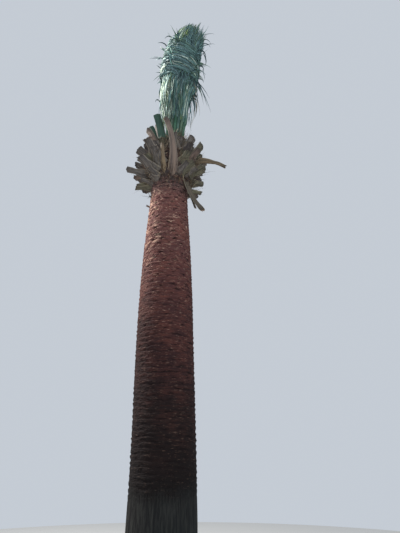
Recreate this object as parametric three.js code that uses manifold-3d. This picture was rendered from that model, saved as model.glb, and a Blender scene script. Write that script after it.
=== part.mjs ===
// Date palm, newly planted: a trimmed trunk, a crown of cut leaf bases,
// and all the fronds tied upright in one bundle, its upper half wound round.
// Millimetres, +Z up, origin at the middle of the trunk's flat cut at ground level.

import * as THREE from "three";
import { mergeVertices } from "three/addons/utils/BufferGeometryUtils.js";
import Module from "manifold-3d";

const wasm = await Module();
wasm.setup();

const DEGREE = Math.PI / 180;
const TURN = 2 * Math.PI;
const GOLDEN_ANGLE = 137.5 * DEGREE;

// Clearance between a piece and what it is seated on, and how far its foot is sunk before the cut.
const SEAT_GAP = 0.3;
const SEAT_SINK = 22;

// The middle line of trunk and bundle: height with its sideways shift, and with its forward lean.
const AXIS_SHIFT = [
  [0, 0], [1400, 0], [2600, -26], [4100, -38], [4500, -26], [4950, 0], [5440, 20],
  [5920, 62], [6150, 104], [6285, 160], [6440, 232],
];
const AXIS_LEAN = [
  [4950, 0], [5240, -20], [5440, -55], [5720, -110], [5920, -165], [6150, -235], [6440, -324],
];

// Trunk: height, diameter. The foot flares and the top runs up inside the crown.
const TRUNK_DIAMETER = [
  [0, 690], [130, 640], [420, 590], [1000, 560], [1500, 545], [2450, 527], [2990, 508],
  [3490, 466], [3910, 413], [4150, 394], [4250, 416], [4380, 476], [4520, 508], [4640, 470],
  [4740, 380], [4800, 270],
];
const TRUNK_TOP = 4800;
const TRUNK_SIDES = 26;
const SCAR_ROW_HEIGHT = 74;
const SCAR_DEPTH = 10;
const SCARS_END = 4240;

// Bundle of fronds: height, radius.
const BUNDLE_RADIUS = [
  [4880, 104], [5060, 114], [5240, 139], [5440, 165], [5720, 222], [5920, 231], [6150, 210],
  [6285, 182], [6400, 140],
];
const BUNDLE_FOOT = TRUNK_TOP - SEAT_SINK;
const UNROLLED_RADIUS = 200;

// Heart: the young inner fronds, packed tight, whose tips stand out at the top.
const HEART_INSET = 40;
const HEART_DEEP_INSET = 60;
const HEART_NARROWS = 5390;
const HEART_TOP = 6250;
const HEART_SIDES = 18;
const HEART_RINGS = 9;
const HEART_FLUTE = 5;
const TUFT_TIPS = 24;
const TUFT_TIP_TOP = 6390;
const TUFT_LEAN_RIGHT = 0.46;
const TUFT_LEAN_FRONT = -0.3;
const TUFT_SPREAD = 0.42;
const TUFT_ROOT_SINK = 40;
const TUFT_LEAST_DROP = 10;
const TUFT_MOST_DROP = 90;
const TUFT_LEAF_WIDTH = 42;
const TUFT_LEAF_THICKNESS = 16;

// Outer fronds, side by side round the heart. Every fourth one goes on up and round the bundle,
// and the others are tucked in under it.
const FROND_COUNT = 16;
const WOUND_EVERY = 4;
const FROND_TOP = 5850;
const FROND_STEP = 74;
const FROND_THICKNESS = 26;
const FROND_DEPTH = -17;
const TUCKED_DEPTH = -42;
const TUCKED_THICKNESS = 16;
const TUCK_START = 5540;
const TUCK_END = 5670;
const PETIOLE_HALF_WIDTH = 34;
const RIB_HALF_WIDTH = 12;
const RIB_FULLY_SLIM = 5750;
const FIRST_LEAFLET = 5170;
const LEAFLET_SWEEP = 150;
const LEAFLET_CLEARANCE = 4;

// Winding of the long fronds: height where they turn, slope, size of the bend and length.
const WOUND_BEND_START = 5675;
const WOUND_SLOPE = 13.5 * DEGREE;
const WOUND_BEND_RADIUS = 90;
const WOUND_DEPTH = -8;
const WOUND_THICKNESS = 20;
const WOUND_BEND_STEP = 44;
const WOUND_RIB_HALF_WIDTH = 17;
const WOUND_TOP = 6170;
const WOUND_LEAFLET_SWEEP = 165;

// Loose leaflets that spring out of the winding or hang from it.
const LOOSE_COUNT = 26;
const LOOSE_WIDTH = 20;
const LOOSE_SHORTEST = 180;
const LOOSE_LONGEST = 330;
const LOOSE_SAG_LOW = 0.75;
const LOOSE_SAG_HIGH = 0.2;
const LOOSE_CLIMB_LOW = -0.5;
const LOOSE_CLIMB_HIGH = 0.9;
const LOOSE_SLENDERNESS = 45;
const LOOSE_LOWEST = 5760;
const LOOSE_HIGHEST = 6130;
const LOOSE_FRONT_CLIMB = 0.25;
const LOOSE_RIGHT_DROOP = 0.4;

// Cut leaf bases, set by the golden angle round the top of the trunk, fused in pairs at the foot.
const BASE_COUNT = 59;
const BASE_FIRST_AZIMUTH = 122.4 * DEGREE;
const BASE_LOWEST = 4290;
const BASE_HIGHEST = 4724;
const BASE_TILT_LOW = -9.7 * DEGREE;
const BASE_TILT_HIGH = 72.1 * DEGREE;
const BASE_FRONT_LIFT = 24 * DEGREE;
const BASE_FOOT_RISE = 8 * DEGREE;
const BASE_LENGTH_LOW = 191;
const BASE_LENGTH_HIGH = 327;
const BASE_FRONT_LENGTH_LOW = 1.3;
const BASE_FRONT_LENGTH_HIGH = 0.24;
const BASE_RIGHT_LENGTH = 0.74;
const BASE_WIDTH_TO_TRUNK = 0.84;
const BASE_FOOT_THICKNESS = 100;
const BASE_END_THICKNESS = 32;
const BASE_END_WIDTH = 88;
const BASE_SIDE_TWIST = -38 * DEGREE;
const BASE_STATIONS = 4;
const BASE_CUT_SLANT = 0.5;
const BASE_LEAST_SHARE = 0.4;

// Stretch of the front that belongs to the two front petioles, below a height.
const FRONT_STRETCH_MIDDLE = -88 * DEGREE;
const FRONT_STRETCH_HALF = 20 * DEGREE;
const FRONT_STRETCH_TOP = 4560;

// Long petioles and dead bases that stand out of the crown.
// lean is how far the end swings sideways round the trunk, curl how much the tilt changes on
// the way out, and twist how far the end turns about its own length. Angles are in degrees.
const LONG_BASES = [
  { name: "front_petiole_tall", azimuth: -78, foot: 4280, tilt: 42, curl: 46, lean: -15,
    length: 580, footWidth: 124, endWidth: 58, endThickness: 30 },
  { name: "front_petiole_short", azimuth: -103, foot: 4290, tilt: 44, curl: 34, lean: 2,
    length: 300, footWidth: 80, endWidth: 42, endThickness: 26 },
  { name: "dry_petiole_right", azimuth: -7, foot: 4590, tilt: 4, curl: -50, lean: 0,
    length: 390, footWidth: 120, endWidth: 42, endThickness: 32, twist: -40 },
  { name: "hanging_dead_base", azimuth: -29, foot: 4390, tilt: -75, curl: 23, lean: -1,
    length: 540, footWidth: 120, endWidth: 84, endThickness: 24, twist: 40 },
  { name: "green_petiole_tall", azimuth: 204, foot: 4748, tilt: 83, curl: -14, lean: 0,
    length: 447, footWidth: 100, endWidth: 96, endThickness: 40, twist: 75 },
  { name: "green_petiole_middle", azimuth: 161, foot: 4714, tilt: 81, curl: -19, lean: 0,
    length: 488, footWidth: 96, endWidth: 86, endThickness: 36, twist: 75 },
  { name: "brown_petiole_left", azimuth: 176, foot: 4684, tilt: 79, curl: -26, lean: 0,
    length: 410, footWidth: 100, endWidth: 84, endThickness: 34, twist: 75 },
];

const FINISH = {
  bark: { color: 0x6a443e, roughness: 0.85, metalness: 0 },
  base: { color: 0x5d5a4c, roughness: 0.9, metalness: 0 },
  petiole: { color: 0x3c5f55, roughness: 0.55, metalness: 0 },
  frond: { color: 0x5a8080, roughness: 0.6, metalness: 0 },
  heart: { color: 0x3f6158, roughness: 0.7, metalness: 0 },
};

// Seeded draws, so that the tree comes out the same each time.
function seededDraws(seed) {
  let state = seed;
  return () => {
    state = (state + 0x6d2b79f5) | 0;
    let mixed = Math.imul(state ^ (state >>> 15), 1 | state);
    mixed = (mixed + Math.imul(mixed ^ (mixed >>> 7), 61 | mixed)) ^ mixed;
    return ((mixed ^ (mixed >>> 14)) >>> 0) / 4294967296;
  };
}

function mix(from, to, share) {
  return from + (to - from) * share;
}

function ramp(value, start, end) {
  const share = THREE.MathUtils.clamp((value - start) / (end - start), 0, 1);
  return share * share * (3 - 2 * share);
}

// Smooth value at a height, from a short list of heights and values.
function along(stations, height) {
  const last = stations.length - 1;
  if (height <= stations[0][0]) {
    return stations[0][1];
  }
  if (height >= stations[last][0]) {
    return stations[last][1];
  }
  const upper = stations.findIndex(([z]) => z > height);
  const slope = (i) => {
    const before = stations[Math.max(i - 1, 0)];
    const after = stations[Math.min(i + 1, last)];
    return (after[1] - before[1]) / (after[0] - before[0]);
  };
  const [z0, v0] = stations[upper - 1];
  const [z1, v1] = stations[upper];
  const span = z1 - z0;
  const t = (height - z0) / span;
  const rest = 1 - t;
  const start = v0 * (1 + 2 * t) * rest * rest + slope(upper - 1) * span * t * rest * rest;
  const end = v1 * t * t * (3 - 2 * t) - slope(upper) * span * t * t * rest;
  return start + end;
}

// Closed surface through rings of points that run counterclockwise seen against the path.
// Where the rings are staggered, each is turned half a step from the one before it.
function loft(rings, staggered = false) {
  const sides = rings[0].length;
  const points = rings.flat();
  const faces = [];
  for (let row = 0; row < rings.length - 1; row += 1) {
    const low = row * sides;
    const high = low + sides;
    const turned = staggered && row % 2 === 1;
    for (let i = 0; i < sides; i += 1) {
      const next = (i + 1) % sides;
      if (turned) {
        faces.push([low + i, high + next, high + i], [low + i, low + next, high + next]);
      } else {
        faces.push([low + i, low + next, high + i], [low + next, high + next, high + i]);
      }
    }
  }
  const caps = [rings[0], rings[rings.length - 1]];
  const starts = [0, (rings.length - 1) * sides];
  caps.forEach((ring, end) => {
    const middle = points.length;
    points.push(ring.reduce((sum, p) => sum.add(p), new THREE.Vector3()).divideScalar(sides));
    for (let i = 0; i < sides; i += 1) {
      const a = starts[end] + i;
      const b = starts[end] + ((i + 1) % sides);
      faces.push(end === 0 ? [middle, b, a] : [middle, a, b]);
    }
  });
  return solidFrom(points, faces);
}

// A solid from points and faces, turned so that its faces point out.
function solidFrom(points, faces) {
  let volume = 0;
  const cross = new THREE.Vector3();
  for (const [a, b, c] of faces) {
    volume += points[a].dot(cross.crossVectors(points[b], points[c]));
  }
  const turned = volume < 0 ? faces.map(([a, b, c]) => [a, c, b]) : faces;
  const positions = points.flatMap((p) => [p.x, p.y, p.z]);
  const geometry = new THREE.BufferGeometry();
  geometry.setAttribute("position", new THREE.Float32BufferAttribute(positions, 3));
  geometry.setIndex(turned.flat());
  return toManifold(geometry);
}

function toManifold(geometry) {
  const merged = mergeVertices(geometry, 1e-4);
  const vertProperties = new Float32Array(merged.attributes.position.array);
  const triVerts = new Uint32Array(merged.index.array);
  return new wasm.Manifold(new wasm.Mesh({ numProp: 3, vertProperties, triVerts }));
}

function toGeometry(solid) {
  const mesh = solid.getMesh();
  const geometry = new THREE.BufferGeometry();
  geometry.setAttribute("position", new THREE.BufferAttribute(new Float32Array(mesh.vertProperties), 3));
  geometry.setIndex(new THREE.BufferAttribute(new Uint32Array(mesh.triVerts), 1));
  geometry.computeVertexNormals();
  return geometry;
}

const palm = new THREE.Group();

function addPiece(name, solid, finish) {
  const mesh = new THREE.Mesh(toGeometry(solid), new THREE.MeshStandardMaterial(finish));
  mesh.name = name;
  palm.add(mesh);
}

// Level ring round the trunk's middle line; a share of a step turns it.
function levelRing(height, radius, sides, turn) {
  const shift = along(AXIS_SHIFT, height);
  return Array.from({ length: sides }, (_, i) => {
    const angle = (TURN * (i + turn)) / sides;
    return new THREE.Vector3(shift + radius * Math.cos(angle), radius * Math.sin(angle), height);
  });
}

function axisPoint(height) {
  return new THREE.Vector3(along(AXIS_SHIFT, height), along(AXIS_LEAN, height), height);
}

// A point off the bundle's middle line, in the plane square to it at a height.
function offAxis(height, angle, reach) {
  const ahead = axisPoint(height + 1).sub(axisPoint(height - 1)).normalize();
  const right = new THREE.Vector3(1, 0, 0).addScaledVector(ahead, -ahead.x).normalize();
  const back = ahead.clone().cross(right);
  return axisPoint(height)
    .addScaledVector(right, reach * Math.cos(angle))
    .addScaledVector(back, reach * Math.sin(angle));
}

// Trunk: staggered rows of diamond leaf scars, plain where the leaf bases cover it.
function makeTrunk(growth) {
  const rows = Math.round(TRUNK_TOP / SCAR_ROW_HEIGHT);
  const rings = Array.from({ length: rows + 1 }, (_, row) => {
    const height = (TRUNK_TOP * row) / rows;
    const scarred = row > 0 && height < SCARS_END;
    const relief = scarred ? SCAR_DEPTH * (row % 2 === 0 ? 0.5 : -0.5) : 0;
    const radius = along(TRUNK_DIAMETER, height) / 2 + relief + growth;
    const lift = row === rows ? growth : 0;
    const ring = levelRing(height, radius, TRUNK_SIDES, (row % 2) / 2);
    ring.forEach((point) => point.setZ(point.z + lift));
    return ring;
  });
  return loft(rings, true);
}

// One flat, pointed leaflet along a few points, a flattened diamond in section.
function makeLeaflet(points, width, thickness) {
  const last = points.length - 1;
  const rings = points.slice(0, last).map((point, i) => {
    const ahead = points[i + 1].clone().sub(points[Math.max(i - 1, 0)]).normalize();
    const side = new THREE.Vector3(0, 0, 1).cross(ahead);
    if (side.length() < 0.2) {
      side.set(1, 0, 0).cross(ahead);
    }
    side.normalize();
    const face = ahead.clone().cross(side);
    const taper = 1 - (0.5 * i) / last;
    const across = side.multiplyScalar((width * taper) / 2);
    const through = face.multiplyScalar((thickness * taper) / 2);
    return [across, through, across.clone().negate(), through.clone().negate()]
      .map((offset) => point.clone().add(offset));
  });
  const tip = points[last];
  const sides = rings[0].length;
  const all = [...rings.flat(), tip];
  const faces = [[0, 2, 1], [0, 3, 2]];
  rings.forEach((_, row) => {
    const low = row * sides;
    for (let i = 0; i < sides; i += 1) {
      const next = (i + 1) % sides;
      if (row === rings.length - 1) {
        faces.push([low + i, low + next, all.length - 1]);
      } else {
        const high = low + sides;
        faces.push([low + i, low + next, high + i], [low + next, high + next, high + i]);
      }
    }
  });
  return solidFrom(all, faces);
}

// Points of a leaflet that sets off in one direction and sinks under its weight.
function springingPoints(root, direction, length, sag, steps = 3) {
  return Array.from({ length: steps + 1 }, (_, i) => {
    const share = i / steps;
    const point = root.clone().addScaledVector(direction, length * share);
    point.z -= sag * share * share;
    return point;
  });
}

// Heart of the bundle, fluted by the fronds packed in it, with their tips standing out on top.
function makeHeart() {
  const draw = seededDraws(11);
  const rings = Array.from({ length: HEART_RINGS + 1 }, (_, row) => {
    const height = mix(BUNDLE_FOOT, HEART_TOP, row / HEART_RINGS);
    const inset = mix(HEART_INSET, HEART_DEEP_INSET, ramp(height, HEART_NARROWS, TUCK_START));
    const radius = along(BUNDLE_RADIUS, height) - inset;
    return Array.from({ length: HEART_SIDES }, (__, i) => {
      return offAxis(height, (TURN * i) / HEART_SIDES, radius + (i % 2) * HEART_FLUTE);
    });
  });
  let heart = loft(rings);
  const topRadius = along(BUNDLE_RADIUS, HEART_TOP) - HEART_DEEP_INSET;
  for (let i = 0; i < TUFT_TIPS; i += 1) {
    const angle = GOLDEN_ANGLE * i;
    const outShare = Math.sqrt((i + 0.5) / TUFT_TIPS);
    const root = offAxis(HEART_TOP - TUFT_ROOT_SINK, angle, topRadius * outShare);
    const spread = TUFT_SPREAD * outShare;
    const direction = new THREE.Vector3(
      TUFT_LEAN_RIGHT + spread * Math.cos(angle),
      TUFT_LEAN_FRONT + spread * Math.sin(angle),
      1,
    ).normalize();
    const drop = i === 0 ? 0 : mix(TUFT_LEAST_DROP, TUFT_MOST_DROP, draw());
    const length = (TUFT_TIP_TOP - drop - root.z) / direction.z;
    const points = springingPoints(root, direction, length, 0);
    heart = heart.add(makeLeaflet(points, TUFT_LEAF_WIDTH, TUFT_LEAF_THICKNESS));
  }
  return heart;
}

// A place on the bundle: distance round it, height, and depth out from its outer surface.
function onBundle(around, height, depth) {
  return offAxis(height, around / UNROLLED_RADIUS, along(BUNDLE_RADIUS, height) + depth);
}

// One frond as a thin blade: a rib along a path, with a row of pointed leaflets cut to it each side.
// A station has its place in the unrolled plane, its heading, depth, widths and leaflet reach.
function makeFrond(stations) {
  const points = [];
  const faces = [];
  const corner = (station, side, face) => {
    const { around, height, heading, half, depth, thickness } = station;
    const a = around - Math.sin(heading) * half * side;
    const z = height + Math.cos(heading) * half * side;
    return onBundle(a, z, depth + (thickness / 2) * face);
  };
  for (const station of stations) {
    points.push(corner(station, 1, 1), corner(station, -1, 1));
    points.push(corner(station, -1, -1), corner(station, 1, -1));
  }
  for (let i = 0; i < stations.length - 1; i += 1) {
    const low = i * 4;
    const high = low + 4;
    faces.push([low, low + 1, high], [low + 1, high + 1, high]);
    faces.push([low + 2, low + 3, high + 2], [low + 3, high + 3, high + 2]);
    for (const [side, outer, inner] of [[1, 0, 3], [-1, 1, 2]]) {
      const edge = [low + outer, high + outer, high + inner, low + inner];
      const { reach, sweep } = stations[i];
      if (reach === 0) {
        const quad = side > 0 ? edge : [...edge].reverse();
        faces.push([quad[0], quad[1], quad[2]], [quad[0], quad[2], quad[3]]);
        continue;
      }
      const { around, height, heading, depth } = stations[i];
      const tip = points.length;
      const a = around + Math.cos(heading) * sweep - Math.sin(heading) * reach * side;
      const z = height + Math.sin(heading) * sweep + Math.cos(heading) * reach * side;
      points.push(onBundle(a, z, depth));
      for (let corners = 0; corners < 4; corners += 1) {
        const pair = [edge[corners], edge[(corners + 1) % 4]];
        faces.push(side > 0 ? [...pair, tip] : [pair[1], pair[0], tip]);
      }
    }
  }
  const end = (stations.length - 1) * 4;
  faces.push([0, 2, 1], [0, 3, 2], [end, end + 1, end + 2], [end, end + 2, end + 3]);
  return solidFrom(points, faces);
}

function ribHalfWidth(height) {
  return mix(PETIOLE_HALF_WIDTH, RIB_HALF_WIDTH, ramp(height, BUNDLE_FOOT, RIB_FULLY_SLIM));
}

// Upright part of frond number k, as far as a height.
function uprightStations(k, top, depthAt, thicknessAt) {
  const around = (k * TURN * UNROLLED_RADIUS) / FROND_COUNT;
  const spacing = (TURN * UNROLLED_RADIUS) / FROND_COUNT;
  const count = Math.round((top - BUNDLE_FOOT) / FROND_STEP);
  return Array.from({ length: count + 1 }, (_, i) => {
    const height = mix(BUNDLE_FOOT, top, i / count);
    const leafy = height > FIRST_LEAFLET && i < count - 1;
    return {
      around,
      height,
      heading: Math.PI / 2,
      half: ribHalfWidth(height),
      depth: depthAt(height),
      thickness: thicknessAt(height),
      reach: leafy ? spacing / 2 - LEAFLET_CLEARANCE : 0,
      sweep: LEAFLET_SWEEP,
    };
  });
}

function makeUprightFrond(k) {
  const tucked = (z) => ramp(z, TUCK_START, TUCK_END);
  const depthAt = (z) => mix(FROND_DEPTH, TUCKED_DEPTH, tucked(z));
  const thicknessAt = (z) => mix(FROND_THICKNESS, TUCKED_THICKNESS, tucked(z));
  const stations = uprightStations(k, FROND_TOP, depthAt, thicknessAt);
  stations[stations.length - 1].half = RIB_HALF_WIDTH / 3;
  return makeFrond(stations);
}

// A long frond: upright, then over a bend and round the bundle, climbing to the left.
function makeWoundFrond(k) {
  const lifted = (z) => ramp(z, TUCK_START, WOUND_BEND_START);
  const depthAt = (z) => mix(FROND_DEPTH, WOUND_DEPTH, lifted(z));
  const thicknessAt = (z) => mix(FROND_THICKNESS, WOUND_THICKNESS, lifted(z));
  const stations = uprightStations(k, WOUND_BEND_START, depthAt, thicknessAt);
  const rise = Math.tan(WOUND_SLOPE) * TURN * UNROLLED_RADIUS;
  const bandHalf = (rise / WOUND_EVERY / 2) * Math.cos(WOUND_SLOPE);
  const settled = Math.PI - WOUND_SLOPE;
  let { around, height, heading } = stations[stations.length - 1];
  while (heading < settled - 1e-6) {
    heading = Math.min(heading + WOUND_BEND_STEP / WOUND_BEND_RADIUS, settled);
    around += Math.cos(heading) * WOUND_BEND_STEP;
    height += Math.sin(heading) * WOUND_BEND_STEP;
    stations.push({
      around, height, heading, half: WOUND_RIB_HALF_WIDTH, depth: WOUND_DEPTH,
      thickness: WOUND_THICKNESS, reach: 0, sweep: 0,
    });
  }
  while (height < WOUND_TOP) {
    around += Math.cos(heading) * FROND_STEP;
    height += Math.sin(heading) * FROND_STEP;
    stations.push({
      around, height, heading, half: WOUND_RIB_HALF_WIDTH, depth: WOUND_DEPTH,
      thickness: WOUND_THICKNESS, reach: bandHalf - LEAFLET_CLEARANCE, sweep: WOUND_LEAFLET_SWEEP,
    });
  }
  stations[stations.length - 1].half = WOUND_RIB_HALF_WIDTH / 3;
  return { solid: makeFrond(stations), stations };
}

// Loose leaflets rooted in the ribs of the wound fronds: the high ones spring up and out,
// the low ones hang.
function addLooseLeaflets(wound) {
  const draw = seededDraws(29);
  for (let i = 0; i < LOOSE_COUNT; i += 1) {
    const share = (i + 0.5) / LOOSE_COUNT;
    const height = mix(LOOSE_LOWEST, LOOSE_HIGHEST, share);
    const frond = wound[i % wound.length];
    const ribs = frond.stations.filter((station) => station.reach > 0);
    const near = (a, b) => (Math.abs(a.height - height) < Math.abs(b.height - height) ? a : b);
    const station = ribs.reduce(near);
    const root = onBundle(station.around, station.height, station.depth);
    const angle = station.around / UNROLLED_RADIUS;
    const out = new THREE.Vector3(Math.cos(angle), Math.sin(angle), 0);
    const acrossOut = new THREE.Vector3(-out.y, out.x, 0);
    const facingFront = Math.max(0, -Math.sin(angle));
    const droop = LOOSE_RIGHT_DROOP * Math.cos(angle);
    const sideClimb = mix(LOOSE_CLIMB_LOW, LOOSE_CLIMB_HIGH, share) - droop;
    const climb = sideClimb * mix(1, LOOSE_FRONT_CLIMB, facingFront) + mix(-0.2, 0.2, draw());
    const direction = out.clone().addScaledVector(acrossOut, mix(-0.5, 0.5, draw()));
    direction.z += climb;
    direction.normalize();
    const length = mix(LOOSE_SHORTEST, LOOSE_LONGEST, draw());
    const sag = mix(LOOSE_SAG_LOW, LOOSE_SAG_HIGH, share) * (1 + droop) * length;
    const points = springingPoints(root, direction, length, sag);
    frond.solid = frond.solid.add(makeLeaflet(points, LOOSE_WIDTH, length / LOOSE_SLENDERNESS));
  }
}

// One cut leaf base or petiole: broad and hugging at its foot, thin and cut on the slant at its end.
function makeBase(spec, growth = 0) {
  const sink = SEAT_SINK + (BASE_FOOT_THICKNESS / 2) * Math.abs(Math.sin(spec.tilt));
  const shift = along(AXIS_SHIFT, spec.foot);
  const travel = spec.length + sink;
  let reach = along(TRUNK_DIAMETER, spec.foot) / 2 - sink;
  let height = spec.foot;
  const rings = [];
  for (let i = 0; i <= BASE_STATIONS; i += 1) {
    const share = i / BASE_STATIONS;
    const tilt = spec.tilt + spec.curl * share + spec.footRise * (1 - share) ** 2;
    const azimuth = spec.azimuth + spec.lean * share * share;
    const width = mix(spec.footWidth, spec.endWidth, Math.min(1, share * 1.5)) + 2 * growth;
    const thick = mix(BASE_FOOT_THICKNESS, spec.endThickness, Math.min(1, share * 2.2)) + 3 * growth;
    const slant = i === BASE_STATIONS ? BASE_CUT_SLANT : 0;
    rings.push(baseSection(width, thick, spec.twist * share).map(([side, normal]) => {
      const ahead = -slant * normal;
      const r = reach - Math.sin(tilt) * normal + Math.cos(tilt) * ahead;
      const z = height + Math.cos(tilt) * normal + Math.sin(tilt) * ahead;
      return new THREE.Vector3(
        shift + r * Math.cos(azimuth) - side * Math.sin(azimuth),
        r * Math.sin(azimuth) + side * Math.cos(azimuth),
        z,
      );
    }));
    reach += (Math.cos(tilt) * travel) / BASE_STATIONS;
    height += (Math.sin(tilt) * travel) / BASE_STATIONS;
  }
  return loft(rings);
}

// Section of a leaf base: a keel below and a shallow channel above.
function baseSection(width, thickness, twist) {
  const cos = Math.cos(twist);
  const sin = Math.sin(twist);
  return [[-0.5, 0.22], [-0.34, -0.3], [0, -0.5], [0.34, -0.3], [0.5, 0.22], [0, 0.18]]
    .map(([across, through]) => [across * width, through * thickness])
    .map(([side, normal]) => [side * cos - normal * sin, side * sin + normal * cos]);
}

// Leaf base number k of the golden-angle spiral, from the lowest up.
function spiralBase(k, draw) {
  const share = k / (BASE_COUNT - 1);
  const foot = mix(BASE_LOWEST, BASE_HIGHEST, share);
  const azimuth = BASE_FIRST_AZIMUTH + GOLDEN_ANGLE * k + mix(-5.9, 5.9, draw()) * DEGREE;
  const facingFront = Math.max(0, -Math.sin(azimuth));
  const facingRight = Math.max(0, Math.cos(azimuth));
  const frontLength = mix(BASE_FRONT_LENGTH_LOW, BASE_FRONT_LENGTH_HIGH, share);
  const sideLength = mix(1, frontLength, facingFront) * mix(1, BASE_RIGHT_LENGTH, facingRight);
  const lift = BASE_FRONT_LIFT * facingFront * (1 - 2 * share);
  return {
    azimuth,
    foot,
    tilt: mix(BASE_TILT_LOW, BASE_TILT_HIGH, share) + lift + mix(-7.9, 7.9, draw()) * DEGREE,
    footRise: BASE_FOOT_RISE,
    curl: 0,
    lean: 0,
    twist: BASE_SIDE_TWIST * Math.cos(azimuth),
    length: mix(BASE_LENGTH_LOW, BASE_LENGTH_HIGH, share) * sideLength * mix(0.6, 1.28, draw()),
    footWidth: along(TRUNK_DIAMETER, foot) / 2 * BASE_WIDTH_TO_TRUNK,
    endWidth: BASE_END_WIDTH * mix(0.72, 1.18, draw()),
    endThickness: BASE_END_THICKNESS,
  };
}

function longBase(row) {
  return {
    ...row,
    azimuth: row.azimuth * DEGREE,
    tilt: row.tilt * DEGREE,
    curl: row.curl * DEGREE,
    lean: row.lean * DEGREE,
    twist: (row.twist ?? 0) * DEGREE,
    footRise: 0,
  };
}

function inFrontStretch({ azimuth, foot }) {
  const inside = Math.cos(azimuth - FRONT_STRETCH_MIDDLE) > Math.cos(FRONT_STRETCH_HALF);
  return inside && foot < FRONT_STRETCH_TOP;
}

function largestPiece(solid) {
  return solid.decompose().sort((a, b) => b.volume() - a.volume())[0];
}

function numbered(i) {
  return String(i + 1).padStart(2, "0");
}

const trunk = makeTrunk(0);
const seat = makeTrunk(SEAT_GAP);
const placed = [trunk];

function place(name, solid, finish) {
  const seated = solid.subtract(seat);
  placed.push(seated);
  addPiece(name, seated, finish);
}

addPiece("trunk", trunk, FINISH.bark);
place("heart_fronds", makeHeart(), FINISH.heart);

const woundFronds = [];
for (let k = 0; k < FROND_COUNT; k += 1) {
  const name = `frond_${numbered(k)}`;
  if (k % WOUND_EVERY === 0) {
    woundFronds.push({ name, ...makeWoundFrond(k) });
  } else {
    place(name, makeUprightFrond(k), FINISH.frond);
  }
}
addLooseLeaflets(woundFronds);
for (const { name, solid } of woundFronds) {
  place(name, solid, FINISH.frond);
}

const longGrown = [];
for (const row of LONG_BASES) {
  const finish = row.name.startsWith("green") ? FINISH.petiole : FINISH.base;
  const own = longGrown.reduce((rest, other) => rest.subtract(other), makeBase(longBase(row)));
  place(row.name, largestPiece(own), finish);
  longGrown.push(makeBase(longBase(row), SEAT_GAP));
}

// A leaf base of the spiral is fused to one placed before it that it overlaps, a single one before
// a pair, and is cut where it overlaps the others. It is left out where little would remain.
const drawBase = seededDraws(141);
const clusters = [];
for (let k = 0; k < BASE_COUNT; k += 1) {
  const spec = spiralBase(k, drawBase);
  if (inFrontStretch(spec)) {
    continue;
  }
  const whole = makeBase(spec).subtract(seat);
  const shared = (cluster) => whole.intersect(cluster.solid).volume();
  const open = clusters.filter((cluster) => cluster.grown.length < 3 && shared(cluster) > 0);
  const fewest = (a, b) => a.grown.length - b.grown.length || shared(b) - shared(a);
  const partner = open.sort(fewest)[0];
  const others = clusters.filter((cluster) => cluster !== partner).flatMap((cluster) => cluster.grown);
  const cut = [...longGrown, ...others].reduce((rest, other) => rest.subtract(other), whole);
  const kept = largestPiece(cut);
  if (!kept || kept.volume() < BASE_LEAST_SHARE * whole.volume()) {
    continue;
  }
  const grown = makeBase(spec, SEAT_GAP);
  const fused = partner ? partner.solid.add(kept) : null;
  if (fused && fused.decompose().length === 1) {
    partner.solid = fused;
    partner.grown.push(grown);
  } else {
    clusters.push({ solid: kept, grown: [grown] });
  }
}

clusters
  .filter(({ solid }) => placed.every((other) => solid.intersect(other).isEmpty()))
  .forEach(({ solid }, i) => place(`leaf_bases_${numbered(i)}`, solid, FINISH.base));

export default palm;
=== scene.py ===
import math

import bmesh
import bpy
import numpy as np
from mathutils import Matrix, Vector, noise


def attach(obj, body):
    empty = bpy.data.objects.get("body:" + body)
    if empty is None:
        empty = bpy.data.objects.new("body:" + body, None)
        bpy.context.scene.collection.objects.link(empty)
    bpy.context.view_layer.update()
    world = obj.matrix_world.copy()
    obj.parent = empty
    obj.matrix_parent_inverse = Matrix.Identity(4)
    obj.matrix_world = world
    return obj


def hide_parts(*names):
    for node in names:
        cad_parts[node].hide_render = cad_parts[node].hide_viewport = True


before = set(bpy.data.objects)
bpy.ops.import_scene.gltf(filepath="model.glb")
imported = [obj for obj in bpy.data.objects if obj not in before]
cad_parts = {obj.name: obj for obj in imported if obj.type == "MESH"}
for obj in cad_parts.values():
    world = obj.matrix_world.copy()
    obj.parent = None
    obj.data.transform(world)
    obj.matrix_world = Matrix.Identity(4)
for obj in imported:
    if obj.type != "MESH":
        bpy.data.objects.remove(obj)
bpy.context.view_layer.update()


# Trunk: the palm's one stem, of fibrous wood under trimmed bark. Every leaf it bore was shaved
# off close, which left staggered rows of low diamond scars with ragged lips. It is cut flat at
# the ground, flares there under old grey fibrous bark, and swells again under the crown.
TURN = 2 * np.pi
UP = np.array([0, 0, 1.0])
AXIS_SHIFT = (
    (0, 0), (1.4, 0), (2.6, -0.026), (4.1, -0.038), (4.5, -0.026), (4.95, 0), (5.44, 0.02),
    (5.92, 0.062), (6.15, 0.104), (6.285, 0.16), (6.44, 0.232),
)
TRUNK_DIAMETER = (
    (0, 0.69), (0.13, 0.64), (0.42, 0.59), (1, 0.56), (1.5, 0.545), (2.45, 0.527), (2.99, 0.508),
    (3.49, 0.466), (3.91, 0.413), (4.15, 0.394), (4.25, 0.416), (4.38, 0.476), (4.52, 0.508),
    (4.64, 0.47), (4.74, 0.38), (4.8, 0.27),
)
TRUNK_TOP = 4.8
TRUNK_COLUMNS = 130
TRUNK_ROWS = 740
SCARRED_ROWS = 700
SCARRED_TOP = 4.3
OLD_BARK_TOP = 1.3
SCARS_ROUND = 13
SCAR_SHIFT = 0.382
SCAR_ROW = 0.046
SCAR_LIP = 0.72
SCAR_RELIEF = 0.005
FIBRE_RELIEF = 0.0034
BARK_COLOUR_SPAN = 5.0
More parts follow.
